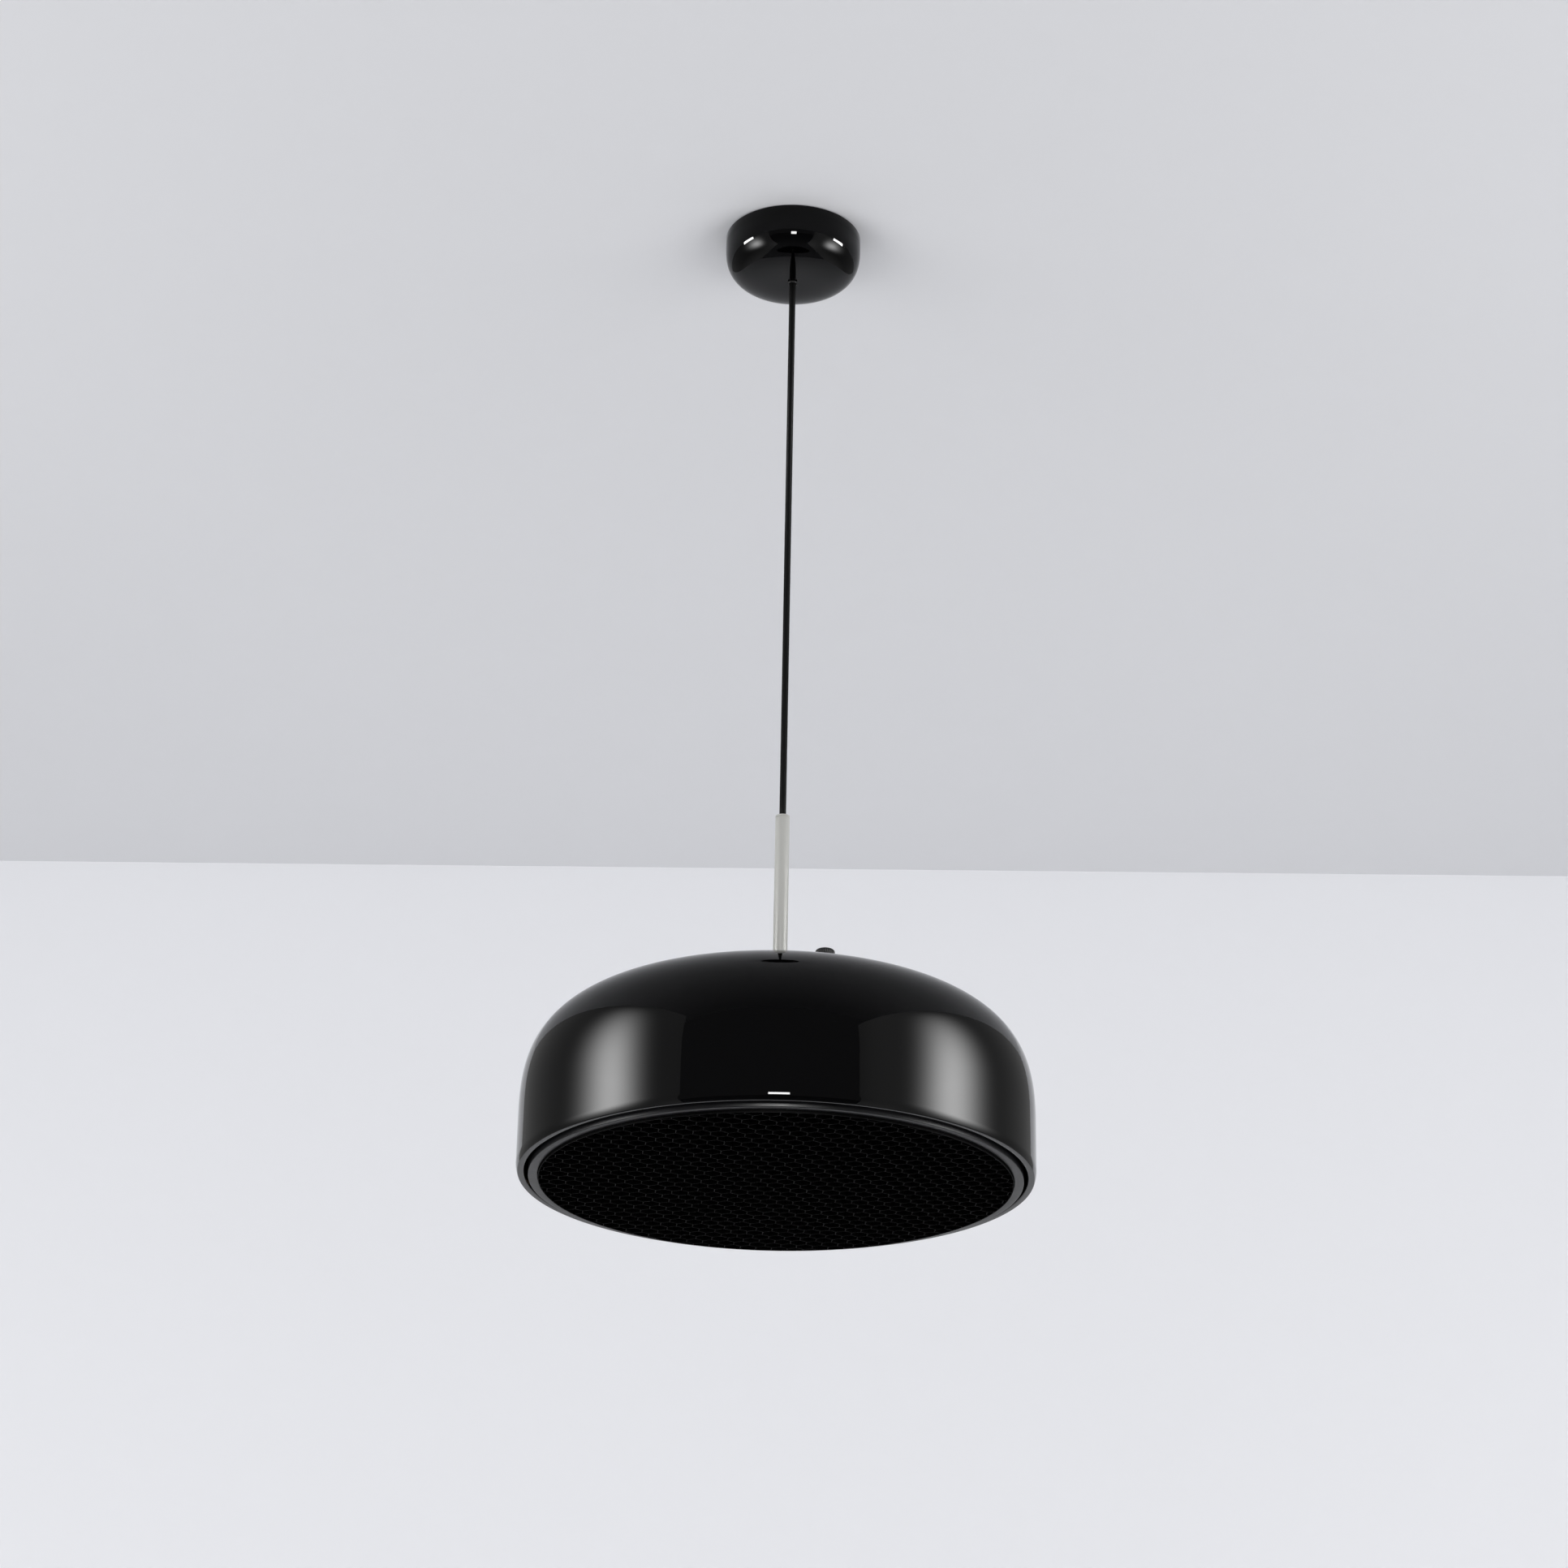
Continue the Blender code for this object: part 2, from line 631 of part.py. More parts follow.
def make_ring(insert):
    """Ring that carries the louvre: a flat flange below and an upright wall outside."""
    low = -RING_DROP
    ring = turned(
        [
            (RING_OUTER, RING_HEIGHT), (RING_OUTER, low + 0.0010), (RING_OUTER - 0.0010, low),
            (RING_INNER + 0.0005, low), (RING_INNER, low + 0.0005), (RING_INNER, low + 0.0025),
            (RING_OUTER - RING_SHEET, low + 0.0025), (RING_OUTER - RING_SHEET, RING_HEIGHT),
        ],
        64,
    )
    for angle in CLIP_ANGLES.values():
        turn = angle + rivet_turn()
        start = Vector((math.cos(turn), math.sin(turn), 0.0)) * (RING_OUTER - 0.004)
        start.z = CLIP_HEIGHT * 0.5 + 0.003
        cut(ring, cross_cylinder(0.0014, start, 0.008, math.degrees(turn)))
    finish(ring, "ring_frame", black_gloss, insert, (0, 0, RIM_Z))


def hexagon_prism(x, y, across, turn, z0, z1):
    prism = bmesh.new()
    circle = across / 2 / math.cos(math.pi / 6)
    bmesh.ops.create_cone(
        prism, cap_ends=True, segments=6, radius1=circle, radius2=circle, depth=z1 - z0
    )
    aim = Matrix.Translation((x, y, (z0 + z1) / 2)) @ Matrix.Rotation(turn, 4, "Z")
    bmesh.ops.transform(prism, matrix=aim, verts=prism.verts)
    return prism


def make_louvre(insert):
    """Honeycomb disc with a rim that rests on the ring's flange."""
    edge = RING_INNER - CLEAR
    flange = RING_OUTER - RING_SHEET - CLEAR
    seat = -RING_DROP + 0.0025 + CLEAR
    disc = cylinder(edge, -LOUVRE_DROP, LOUVRE_TOP, 64)
    joined(disc, cylinder(flange, seat, seat + 0.0020, 64), "UNION")
    cells = bpy.data.meshes.new("cells")
    honeycomb = bmesh.new()
    reach = int(RING_INNER / CELL_PITCH) + 2
    row = CELL_PITCH * math.sqrt(3) / 2
    for j in range(-reach, reach + 1):
        for i in range(-reach, reach + 1):
            x, y = (i + 0.5 * (j % 2)) * CELL_PITCH, j * row
            if math.hypot(x, y) > RING_INNER - 0.56 * CELL_PITCH:
                continue
            u = x * math.cos(CELL_TURN) - y * math.sin(CELL_TURN)
            v = x * math.sin(CELL_TURN) + y * math.cos(CELL_TURN)
            cell = hexagon_prism(u, v, CELL_PITCH - CELL_WALL, CELL_TURN,
                                 -LOUVRE_DROP - 0.002, LOUVRE_TOP + 0.002)
            single = bpy.data.meshes.new("cell")
            cell.to_mesh(single)
            cell.free()
            honeycomb.from_mesh(single)
            bpy.data.meshes.remove(single)
    honeycomb.to_mesh(cells)
    honeycomb.free()
    cutter = bpy.data.objects.new("cells", cells)
    bpy.context.scene.collection.objects.link(cutter)
    cut(disc, cutter)
    finish(disc, "louvre", black_plastic, insert, (0, 0, RIM_Z))


def rivet_turn():
    """Angle from a clip's middle to its rivet."""
    return 0.42 * CLIP_LENGTH / RING_OUTER


def clip_radius(share):
    """Radius of a clip's inner face: on the ring at both ends, bowed out in the middle."""
    rest = RING_OUTER + CLEAR
    rise = CLIP_CREST - CLIP_SHEET - rest
    bow = max(0.0, math.cos(math.pi * share / 1.3)) ** 1.6
    return rest + rise * bow


def make_clips(insert):
    """Bowed bronze leaves, riveted to the ring at one end, which grip the shade's rolled rim."""
    count = 14
    for tag, angle in CLIP_ANGLES.items():
        bm = bmesh.new()
        inner, outer = [], []
        for i in range(count + 1):
            share = 2 * i / count - 1
            turn = angle + 0.5 * share * CLIP_LENGTH / RING_OUTER
            r = clip_radius(share)
            inner.append((r * math.cos(turn), r * math.sin(turn), 0.0))
            r += CLIP_SHEET
            outer.append((r * math.cos(turn), r * math.sin(turn), 0.0))
        face = bm.faces.new([bm.verts.new(p) for p in [*inner, *reversed(outer)]])
        lifted = bmesh.ops.extrude_face_region(bm, geom=[face])
        up = [v for v in lifted["geom"] if isinstance(v, bmesh.types.BMVert)]
        bmesh.ops.translate(bm, verts=up, vec=(0.0, 0.0, CLIP_HEIGHT))
        bmesh.ops.recalc_face_normals(bm, faces=bm.faces)
        mesh = bpy.data.meshes.new("clip")
        bm.to_mesh(mesh)
        bm.free()
        clip = bpy.data.objects.new("clip", mesh)
        bpy.context.scene.collection.objects.link(clip)
        turn = angle + rivet_turn()
        start = Vector((math.cos(turn), math.sin(turn), 0.0)) * (RING_OUTER - 0.002)
        start.z = CLIP_HEIGHT * 0.5
        cut(clip, cross_cylinder(0.0014, start, 0.008, math.degrees(turn)))
        finish(clip, f"clip_{tag}", bronze, insert, (0, 0, RIM_Z + 0.003))
        make_rivet(f"rivet_{tag}", insert, turn)


def make_rivet(name, insert, turn):
    """Rivet through a clip's end and the ring's wall, with a head on both sides."""
    leaf = clip_radius(2 * rivet_turn() * RING_OUTER / CLIP_LENGTH) + CLIP_SHEET + CLEAR
    back = RING_OUTER - RING_SHEET - CLEAR
    shank = 0.0011
    rivet = turned(
        [
            (0.0, leaf + 0.0007), (0.0012, leaf + 0.0006), (0.0020, leaf), (shank, leaf),
            (shank, back), (0.0018, back), (0.0014, back - 0.0006), (0.0, back - 0.0006),
        ],
        12, closed=False,
    )
    rivet.rotation_euler = (0.0, math.radians(90.0), turn)
    finish(rivet, name, brass, insert, (0, 0, RIM_Z + 0.003 + CLIP_HEIGHT * 0.5))


def main():
    clear_scene()
    collection(PARTS)
    collection(CUTTERS)
    root = pivot("ceiling_frame", (0.0, 0.0, 0.0))
    cord_pivot = pivot("cord_pivot", (0.0, 0.0, CUP_PIVOT_Z), root)
    lamp = pivot("lamp_pivot", (0.0, 0.0, STEM_TOP_Z), cord_pivot)
    button = pivot("button_slide", (SWITCH_X, SWITCH_Y, switch_surface()[0]), lamp)
    insert = pivot("insert_slide", (0.0, 0.0, RIM_Z), lamp)

    make_plate(root)
    make_plate_screws(root)
    make_clamp(root)
    make_terminals(root)
    make_core_wires(root)
    make_cup(root)
    make_cup_bush(root)
    make_cords(root, cord_pivot, lamp)
    make_stem(lamp)
    make_stem_nut(lamp)
    make_lampholder(lamp)
    make_bulb(lamp)
    make_shade(lamp)
    make_switch(lamp)
    make_button(button)
    make_ring(insert)
    make_louvre(insert)
    make_clips(insert)


main()
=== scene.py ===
"""Looks of a pendant ceiling light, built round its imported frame.

The frame gives every place and size.  This file adds what is seen: the glossy spun dome and cup, the
fine honeycomb, the ribbed push button and its spring, threads, leaf springs, the bulb in its holder,
and the finish of every piece.
"""
import json
import math

import bmesh
import bpy
from mathutils import Matrix, Vector


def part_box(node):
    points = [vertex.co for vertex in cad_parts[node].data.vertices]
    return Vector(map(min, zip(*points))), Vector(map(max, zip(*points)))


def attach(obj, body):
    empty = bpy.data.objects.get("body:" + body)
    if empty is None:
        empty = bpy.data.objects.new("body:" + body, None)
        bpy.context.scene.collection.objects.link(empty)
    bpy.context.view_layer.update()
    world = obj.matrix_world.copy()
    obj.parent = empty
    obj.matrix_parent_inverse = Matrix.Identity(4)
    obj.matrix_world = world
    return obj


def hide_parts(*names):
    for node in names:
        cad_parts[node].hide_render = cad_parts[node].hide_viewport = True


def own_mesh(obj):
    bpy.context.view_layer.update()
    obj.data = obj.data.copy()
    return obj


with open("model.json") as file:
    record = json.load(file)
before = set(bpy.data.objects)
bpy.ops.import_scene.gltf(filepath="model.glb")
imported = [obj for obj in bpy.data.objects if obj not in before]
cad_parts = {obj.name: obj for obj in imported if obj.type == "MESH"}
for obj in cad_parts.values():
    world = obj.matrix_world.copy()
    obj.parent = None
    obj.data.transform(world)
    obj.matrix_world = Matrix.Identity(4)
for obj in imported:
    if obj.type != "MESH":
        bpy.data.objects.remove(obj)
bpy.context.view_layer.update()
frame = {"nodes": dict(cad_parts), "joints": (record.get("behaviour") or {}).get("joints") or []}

bl_info = {
    "name": "Pendant light finish",
    "version": (1, 0, 0),
    "blender": (4, 5, 0),
    "location": "3D Viewport > Sidebar > Pendant",
    "description": "Builds the visible pieces and finishes of a dome pendant light",
    "category": "Object",
}

MM = 0.001
GAP = 0.3 * MM  # between pieces that touch
MERGE = 0.01 * MM  # points nearer than this become one
FINE_MERGE = MERGE * 0.1  # for turned pieces
SHARP = 35.0  # degrees past which an edge is shaded sharp
BEVEL_SHARP = 50.0  # the same, where bevels and curls make the edges
CORD_HOLE = 3.05 * MM  # bore of both cord bushes
NIPPLE_HOLE = 4.6 * MM  # in dome, washer, nut and lampholder
SWITCH_HOLE = 4.8 * MM  # in the dome
RING_SHEET, RING_FLANGE = 1.5 * MM, 2.5 * MM
CLIPS, FIRST_CLIP = 3, math.radians(52.0)
CLIP_TURN = math.radians(120.0)

SHADE_LOW, SHADE_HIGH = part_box("shade")
CUP_LOW, CUP_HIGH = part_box("ceiling_cup")
CORD_LOW, CORD_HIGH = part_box("cord")
STEM_LOW, STEM_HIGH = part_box("stem_tube")
BUSH_LOW, BUSH_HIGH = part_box("cup_bush")
CAP_LOW, CAP_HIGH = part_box("stem_bush")
RING_LOW, RING_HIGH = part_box("ring_frame")
LOUVRE_LOW, LOUVRE_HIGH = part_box("louvre")
BUTTON_LOW, BUTTON_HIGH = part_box("switch_button")
COLLAR_LOW, COLLAR_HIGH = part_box("switch_collar")

RIM_Z = SHADE_LOW.z
SHADE_RADIUS = SHADE_HIGH.x
SHADE_HEIGHT = SHADE_HIGH.z - RIM_Z
CORD_RADIUS = (CORD_HIGH.x - CORD_LOW.x) / 2
CORD_JOINTS = {j["name"]: Vector(j["pos_m"]) for j in frame["joints"] if j["type"] == "hinge"}
SWITCH = (BUTTON_LOW + BUTTON_HIGH) / 2


# ---- trees written as expressions ----


class Wire:
    """The output of a node.  Arithmetic on it adds Math nodes."""

    def __init__(self, tree, socket):
        self.tree = tree
        self.socket = socket

    def math(self, operation, *values):
        inputs = dict(enumerate(values))
        return self.tree.add("ShaderNodeMath", {"operation": operation}, inputs)

    def __add__(self, other):
        return self.math("ADD", self, other)

    def __sub__(self, other):
        return self.math("SUBTRACT", self, other)

    def __rsub__(self, other):
        return self.math("SUBTRACT", other, self)

    def __mul__(self, other):
        return self.math("MULTIPLY", self, other)

    def __truediv__(self, other):
        return self.math("DIVIDE", self, other)

    def __mod__(self, other):
        return self.math("FLOORED_MODULO", self, other)

    def __gt__(self, other):
        return self.math("GREATER_THAN", self, other)

    def __lt__(self, other):
        return self.math("LESS_THAN", self, other)

    def __pow__(self, other):
        return self.math("POWER", self, other)

    __radd__ = __add__
    __rmul__ = __mul__

    def floor(self):
        return self.math("FLOOR", self)

    def sin(self):
        return self.math("SINE", self)

    def cos(self):
        return self.math("COSINE", self)

    def exp(self):
        return self.math("EXPONENT", self)

    def clamped(self):
        return self.math("MINIMUM", self.math("MAXIMUM", self, 0.0), 1.0)


class Tree:
    """A node tree that is filled by one method."""

    def __init__(self, tree):
        self.tree = tree

    def put(self, socket, value):
        if isinstance(value, Wire):
            self.tree.links.new(value.socket, socket)
        else:
            socket.default_value = value

    def add(self, kind, settings=None, inputs=None, output=0):
        node = self.tree.nodes.new(kind)
        for key, value in (settings or {}).items():
            setattr(node, key, value)
        for key, value in (inputs or {}).items():
            self.put(node.inputs[key], value)
        return Wire(self, node.outputs[output])

    def axes(self, vector):
        """The three numbers of a vector."""
        split = self.add("ShaderNodeSeparateXYZ", None, {0: vector}).socket.node
        return [Wire(self, out) for out in split.outputs]

    def vector(self, x, y, z):
        return self.add("ShaderNodeCombineXYZ", None, {0: x, 1: y, 2: z})

    def mix(self, low, high, share):
        """A colour between two colours, each a wire or three numbers."""
        low, high = (c if isinstance(c, Wire) else (*c, 1.0) for c in (low, high))
        return self.add("ShaderNodeMix", {"data_type": "RGBA"}, {0: share, 6: low, 7: high}, 2)

    def place(self, stretch=(1.0, 1.0, 1.0)):
        """Object coordinates, stretched."""
        coords = self.add("ShaderNodeTexCoord", None, None, "Object")
        return self.add("ShaderNodeMapping", None, {"Vector": coords, "Scale": stretch})

    def noise(self, vector, scale, detail=2.0, roughness=0.5):
        inputs = {"Vector": vector, "Scale": scale, "Detail": detail, "Roughness": roughness}
        return self.add("ShaderNodeTexNoise", None, inputs)

    def cells(self, vector, scale):
        """Distance to the nearest of many scattered points."""
        return self.add("ShaderNodeTexVoronoi", None, {"Vector": vector, "Scale": scale})

    def bump(self, height, distance, strength=1.0):
        inputs = {"Height": height, "Distance": distance, "Strength": strength}
        return self.add("ShaderNodeBump", None, inputs)


# ---- finishes ----


def new_material(name):
    """A material, its Tree and its Principled shader."""
    made = bpy.data.materials.new(name)
    made.use_nodes = True
    return made, Tree(made.node_tree), made.node_tree.nodes["Principled BSDF"]


def finish(name, build, **constants):
    """A finish made once.  build gives what varies over the surface, constants what doesn't."""
    found = bpy.data.materials.get("finish_" + name)
    if found:
        return found
    made, tree, shader = new_material("finish_" + name)
    for key, value in constants.items():
        shader.inputs[key.replace("_", " ")].default_value = value
    for key, value in build(tree).items():
        tree.put(shader.inputs[key], value)
    return made


def gloss_black():
    """Deep gloss paint over spun metal: faint turning lines, a soft ripple and fine dust."""
    look = bpy.context.scene.pendant_finish

    def build(tree):
        spun = tree.noise(tree.place((3.0, 3.0, 900.0)), 1.0, 3.0)
        ripple = tree.noise(tree.place(), 190.0, 2.0)
        smear = tree.noise(tree.place((1.0, 1.0, 2.2)), 14.0, 5.0, 0.6)
        dust = tree.cells(tree.place(), 420.0) < 0.05
        shade = tree.mix(look.gloss_black, (0.0007, 0.0007, 0.0009), smear)
        return {
            "Base Color": tree.mix(shade, (0.03, 0.03, 0.033), dust * 0.35),
            "Roughness": look.gloss_roughness + smear * 0.012 + spun * 0.008 + dust * 0.2,
            "Normal": tree.bump(ripple + spun * 0.5, 0.000004),
        }

    return finish("gloss_black", build, IOR=look.gloss_ior)


def stem_white():
    """Satin off-white paint on a drawn tube."""
    look = bpy.context.scene.pendant_finish

    def build(tree):
        drawn = tree.noise(tree.place((700.0, 700.0, 6.0)), 1.0, 2.0)
        peel = tree.noise(tree.place(), 1100.0, 2.0)
        stain = tree.noise(tree.place(), 30.0, 4.0)
        return {
            "Base Color": tree.mix(look.stem_white, (0.50, 0.50, 0.465), stain * 0.5),
            "Roughness": 0.34 + drawn * 0.08,
            "Normal": tree.bump(peel, 0.00003, 0.5),
        }

    return finish("stem_white", build)


def black_cable():
    """Extruded sheath, with faint lengthwise lines and a dusty sheen."""

    def build(tree):
        lines = tree.noise(tree.place((1500.0, 1500.0, 9.0)), 1.0, 2.0)
        dust = tree.noise(tree.place((1.0, 1.0, 0.3)), 160.0, 4.0)
        return {
            "Base Color": tree.mix((0.0015, 0.0015, 0.0015), (0.004, 0.004, 0.004), dust * 0.6),
            "Roughness": 0.36 + lines * 0.16,
            "Normal": tree.bump(lines, 0.00005, 0.6),
        }

    return finish("black_cable", build, IOR=1.15)


def moulded(name, dark, light, base, spread, grain=900.0, depth=0.00002, **constants):
    """Moulded or fired stuff: an even colour with a fine grain and slow variation in its gloss."""

    def build(tree):
        fine = tree.noise(tree.place(), grain, 3.0)
        slow = tree.noise(tree.place(), 60.0, 4.0)
        return {
            "Base Color": tree.mix(dark, light, slow),
            "Roughness": base + slow * spread,
            "Normal": tree.bump(fine, depth, 0.7),
        }

    return finish(name, build, **constants)


def louvre_black():
    return moulded("louvre_black", (0.0004, 0.0004, 0.0004), (0.0012, 0.0012, 0.0012), 0.42, 0.15, 1500.0,
                   0.00002, IOR=1.10)


def ring_black():
    return moulded("ring_black", (0.004, 0.004, 0.0045), (0.008, 0.008, 0.009), 0.26, 0.12, 1400.0,
                   0.00002, IOR=1.25)


def switch_black():
    return moulded("switch_black", (0.0035, 0.0035, 0.0035), (0.006, 0.006, 0.0065), 0.30, 0.14, 1800.0,
                   0.00002, IOR=1.3)


def holder_black():
    return moulded("holder_black", (0.011, 0.011, 0.011), (0.020, 0.020, 0.020), 0.30, 0.2, 1300.0)


def white_plastic():
    return moulded("white_plastic", (0.72, 0.72, 0.69), (0.80, 0.80, 0.77), 0.38, 0.15, 1500.0)


def ceramic_white():
    return moulded("ceramic_white", (0.74, 0.72, 0.68), (0.82, 0.81, 0.78), 0.5, 0.2, 2200.0, 0.00005)


def opal_glass():
    return moulded("opal_glass", (0.80, 0.80, 0.775), (0.84, 0.84, 0.82), 0.10, 0.06, 300.0, 0.00001,
                   Coat_Weight=0.5, Subsurface_Weight=0.3, Subsurface_Radius=(0.02, 0.02, 0.02),
                   Subsurface_Scale=0.3)


def plated(name, bright, dull, base, stretch):
    """Metal with a drawn or rolled grain, patches of tarnish and fine scratches."""

    def build(tree):
        grain = tree.noise(tree.place(stretch), 1.0, 3.0)
        patch = tree.noise(tree.place(), 130.0, 5.0, 0.65)
        worn = (patch * 2.4 - 0.7).clamped()
        return {
            "Base Color": tree.mix(bright, dull, worn),
            "Roughness": base + worn * 0.2 + grain * 0.12,
            "Normal": tree.bump(grain, 0.00002, 0.6),
        }

    return finish(name, build, Metallic=1.0)


def zinc_steel():
    return plated("zinc_steel", (0.60, 0.60, 0.61), (0.47, 0.48, 0.47), 0.26, (90.0, 1400.0, 90.0))


def brass():
    return plated("brass", (0.78, 0.57, 0.26), (0.52, 0.36, 0.15), 0.22, (1200.0, 1200.0, 200.0))


def bronze():
    return plated("bronze", (0.70, 0.44, 0.21), (0.46, 0.25, 0.11), 0.22, (120.0, 120.0, 2400.0))


def insulation(name, colour, stripe=None):
    """Coloured insulation of a core, with a lengthwise stripe on the earth core."""

    def build(tree):
        fine = tree.noise(tree.place(), 1400.0, 2.0)
        slow = tree.noise(tree.place(), 200.0, 3.0)
        shade = tree.mix([c * 0.8 for c in colour], colour, slow)
        if stripe:
            across = tree.axes(tree.place())[2]
            waves, level = 2600.0, 0.25  # radians a metre, and the height above which a wave is stripe
            band = (across * waves).sin() > level
            shade = tree.mix(shade, stripe, band)
        return {
            "Base Color": shade,
            "Roughness": 0.34 + slow * 0.15,
            "Normal": tree.bump(fine, 0.00002, 0.5),
        }

    return finish(name, build)


# ---- shape tools ----


def rounded(corners, steps=4):
    """Outline through (r, z, fillet) corners, each turned into an arc of its fillet radius."""
    points = []
    for i, (r, z, fillet) in enumerate(corners):
        at = Vector((r, z))
        if not fillet:
            points.append(tuple(at))
            continue
        before = (Vector(corners[i - 1][:2]) - at).normalized()
        after = (Vector(corners[(i + 1) % len(corners)][:2]) - at).normalized()
        half = before.angle(after) / 2
        centre = at + (before + after).normalized() * (fillet / math.sin(half))
        start = at + before * (fillet / math.tan(half)) - centre
        end = at + after * (fillet / math.tan(half)) - centre
        swing = start.angle(end)
        for k in range(steps + 1):
            share = k / steps
            a = math.sin((1 - share) * swing) / math.sin(swing)
            b = math.sin(share * swing) / math.sin(swing)
            points.append(tuple(centre + start * a + end * b))
    return points


def arc(first, last, steps):
    """Evenly spaced angles, given in degrees and returned in radians."""
    return [math.radians(first + (last - first) * i / steps) for i in range(steps + 1)]


def upright(r, start, end, rows):
    """Outline points along an upright line, close enough to carry a thread."""
    return [(r, start + (end - start) * i / rows) for i in range(rows + 1)]


def dome_height(r, radius, height, wall, flat, roundness):
    """How high a superelliptic dome stands at a distance from its axis."""
    return wall + (height - wall) * (1 - (r / radius) ** flat) ** (1 / roundness)


def dome(radius, height, wall, flat, roundness, count, hole):
    """(r, z) points of a superelliptic dome, from its hole at the top down to its straight wall."""
    points = []
    for i in range(count + 1):
        turn = 0.5 * math.pi * (1 - i / count)
        r = radius * math.cos(turn) ** (2 / flat)
        z = wall + (height - wall) * math.sin(turn) ** (2 / roundness)
        if r > hole * 1.05:
            points.append((r, z))
    return [(hole, dome_height(hole, radius, height, wall, flat, roundness)), *points]


def new_tree(name, inputs):
    """A Geometry Nodes group with named inputs, its Tree, and a wire for each input."""
    group = bpy.data.node_groups.new(name, "GeometryNodeTree")
    for label, kind, value in inputs:
        socket = group.interface.new_socket(label, in_out="INPUT", socket_type=kind)
        if value is not None:
            socket.default_value = value
    group.interface.new_socket("Geometry", in_out="OUTPUT", socket_type="NodeSocketGeometry")
    tree = Tree(group)
    entry = group.nodes.new("NodeGroupInput")
    wires = {out.name: Wire(tree, out) for out in entry.outputs if out.name}
    return group, tree, wires


def close_tree(tree, shape, look):
    """Realize Instances and Set Material, then the output."""
    real = tree.add("GeometryNodeRealizeInstances", None, {0: shape})
    painted = tree.add("GeometryNodeSetMaterial", None, {"Geometry": real, "Material": look})
    tree.put(tree.tree.nodes.new("NodeGroupOutput").inputs[0], painted)


def lathe_tree():
    """Turns an outline about an upright axis, with optional ribs and a helical thread."""
    found = bpy.data.node_groups.get("lathe")
    if found:
        return found
    real, whole = "NodeSocketFloat", "NodeSocketInt"
    group, tree, wires = new_tree("lathe", [
        ("Geometry", "NodeSocketGeometry", None), ("Segments", whole, 64), ("Points", whole, 8),
        ("Wrap", whole, 1), ("Centre", "NodeSocketVector", (0.0, 0.0, 0.0)),
        ("Rib Count", real, 0.0), ("Rib Depth", real, 0.0), ("Rib Low", real, 0.0),
        ("Rib High", real, 0.0), ("Rib Radius", real, 0.0),
        ("Thread Pitch", real, 0.001), ("Thread Depth", real, 0.0), ("Thread Low", real, 0.0),
        ("Thread High", real, 0.0), ("Thread Radius", real, 0.0),
        ("Material", "NodeSocketMaterial", None),
    ])
    rows = wires["Points"] + wires["Wrap"]
    sheet = tree.add("GeometryNodeMeshGrid", None,
                     {"Vertices X": wires["Segments"] + 1, "Vertices Y": rows})
    index = tree.add("GeometryNodeInputIndex")
    turn = (index / rows).floor() / wires["Segments"] * (2 * math.pi)
    place = tree.add("GeometryNodeInputPosition")
    profile = tree.add("GeometryNodeSampleIndex", {"data_type": "FLOAT_VECTOR"}, {
        "Geometry": wires["Geometry"], "Value": place, "Index": (index % rows) % wires["Points"],
    })
    r, _, z = tree.axes(profile)

    def between(kind):
        return (z > wires[kind + " Low"]) * (z < wires[kind + " High"]) * (r > wires[kind + " Radius"])

    ribs = (0.5 - (turn * wires["Rib Count"]).cos() * 0.5) * wires["Rib Depth"] * between("Rib")
    phase = z / wires["Thread Pitch"] * (2 * math.pi) - turn
    thread = (0.5 - phase.cos() * 0.5) * wires["Thread Depth"] * between("Thread")
    r = r - ribs - thread
    placed = tree.add("GeometryNodeSetPosition", None, {
        "Geometry": sheet, "Position": tree.vector(r * turn.cos(), r * turn.sin(), z),
        "Offset": wires["Centre"],
    })
    merged = tree.add("GeometryNodeMergeByDistance", None, {"Geometry": placed, "Distance": FINE_MERGE})
    close_tree(tree, merged, wires["Material"])
    return group


def array_tree():
    """Copies of a shape, each shifted by a step and turned by an angle from the one before."""
    found = bpy.data.node_groups.get("array")
    if found:
        return found
    group, tree, wires = new_tree("array", [
        ("Geometry", "NodeSocketGeometry", None), ("Count", "NodeSocketInt", 3),
        ("Step", "NodeSocketVector", (0.0, 0.0, 0.0)), ("First Turn", "NodeSocketFloat", 0.0),
        ("Turn Step", "NodeSocketFloat", 0.0), ("Material", "NodeSocketMaterial", None),
    ])
    index = tree.add("GeometryNodeInputIndex")
    x, y, z = tree.axes(wires["Step"])
    points = tree.add("GeometryNodePoints", None, {
        "Count": wires["Count"], "Position": tree.vector(x * index, y * index, z * index),
    })
    turn = index * wires["Turn Step"] + wires["First Turn"]
    copies = tree.add("GeometryNodeInstanceOnPoints", None, {
        "Points": points, "Instance": wires["Geometry"], "Rotation": tree.vector(0.0, 0.0, turn),
    })
    close_tree(tree, copies, wires["Material"])
    return group


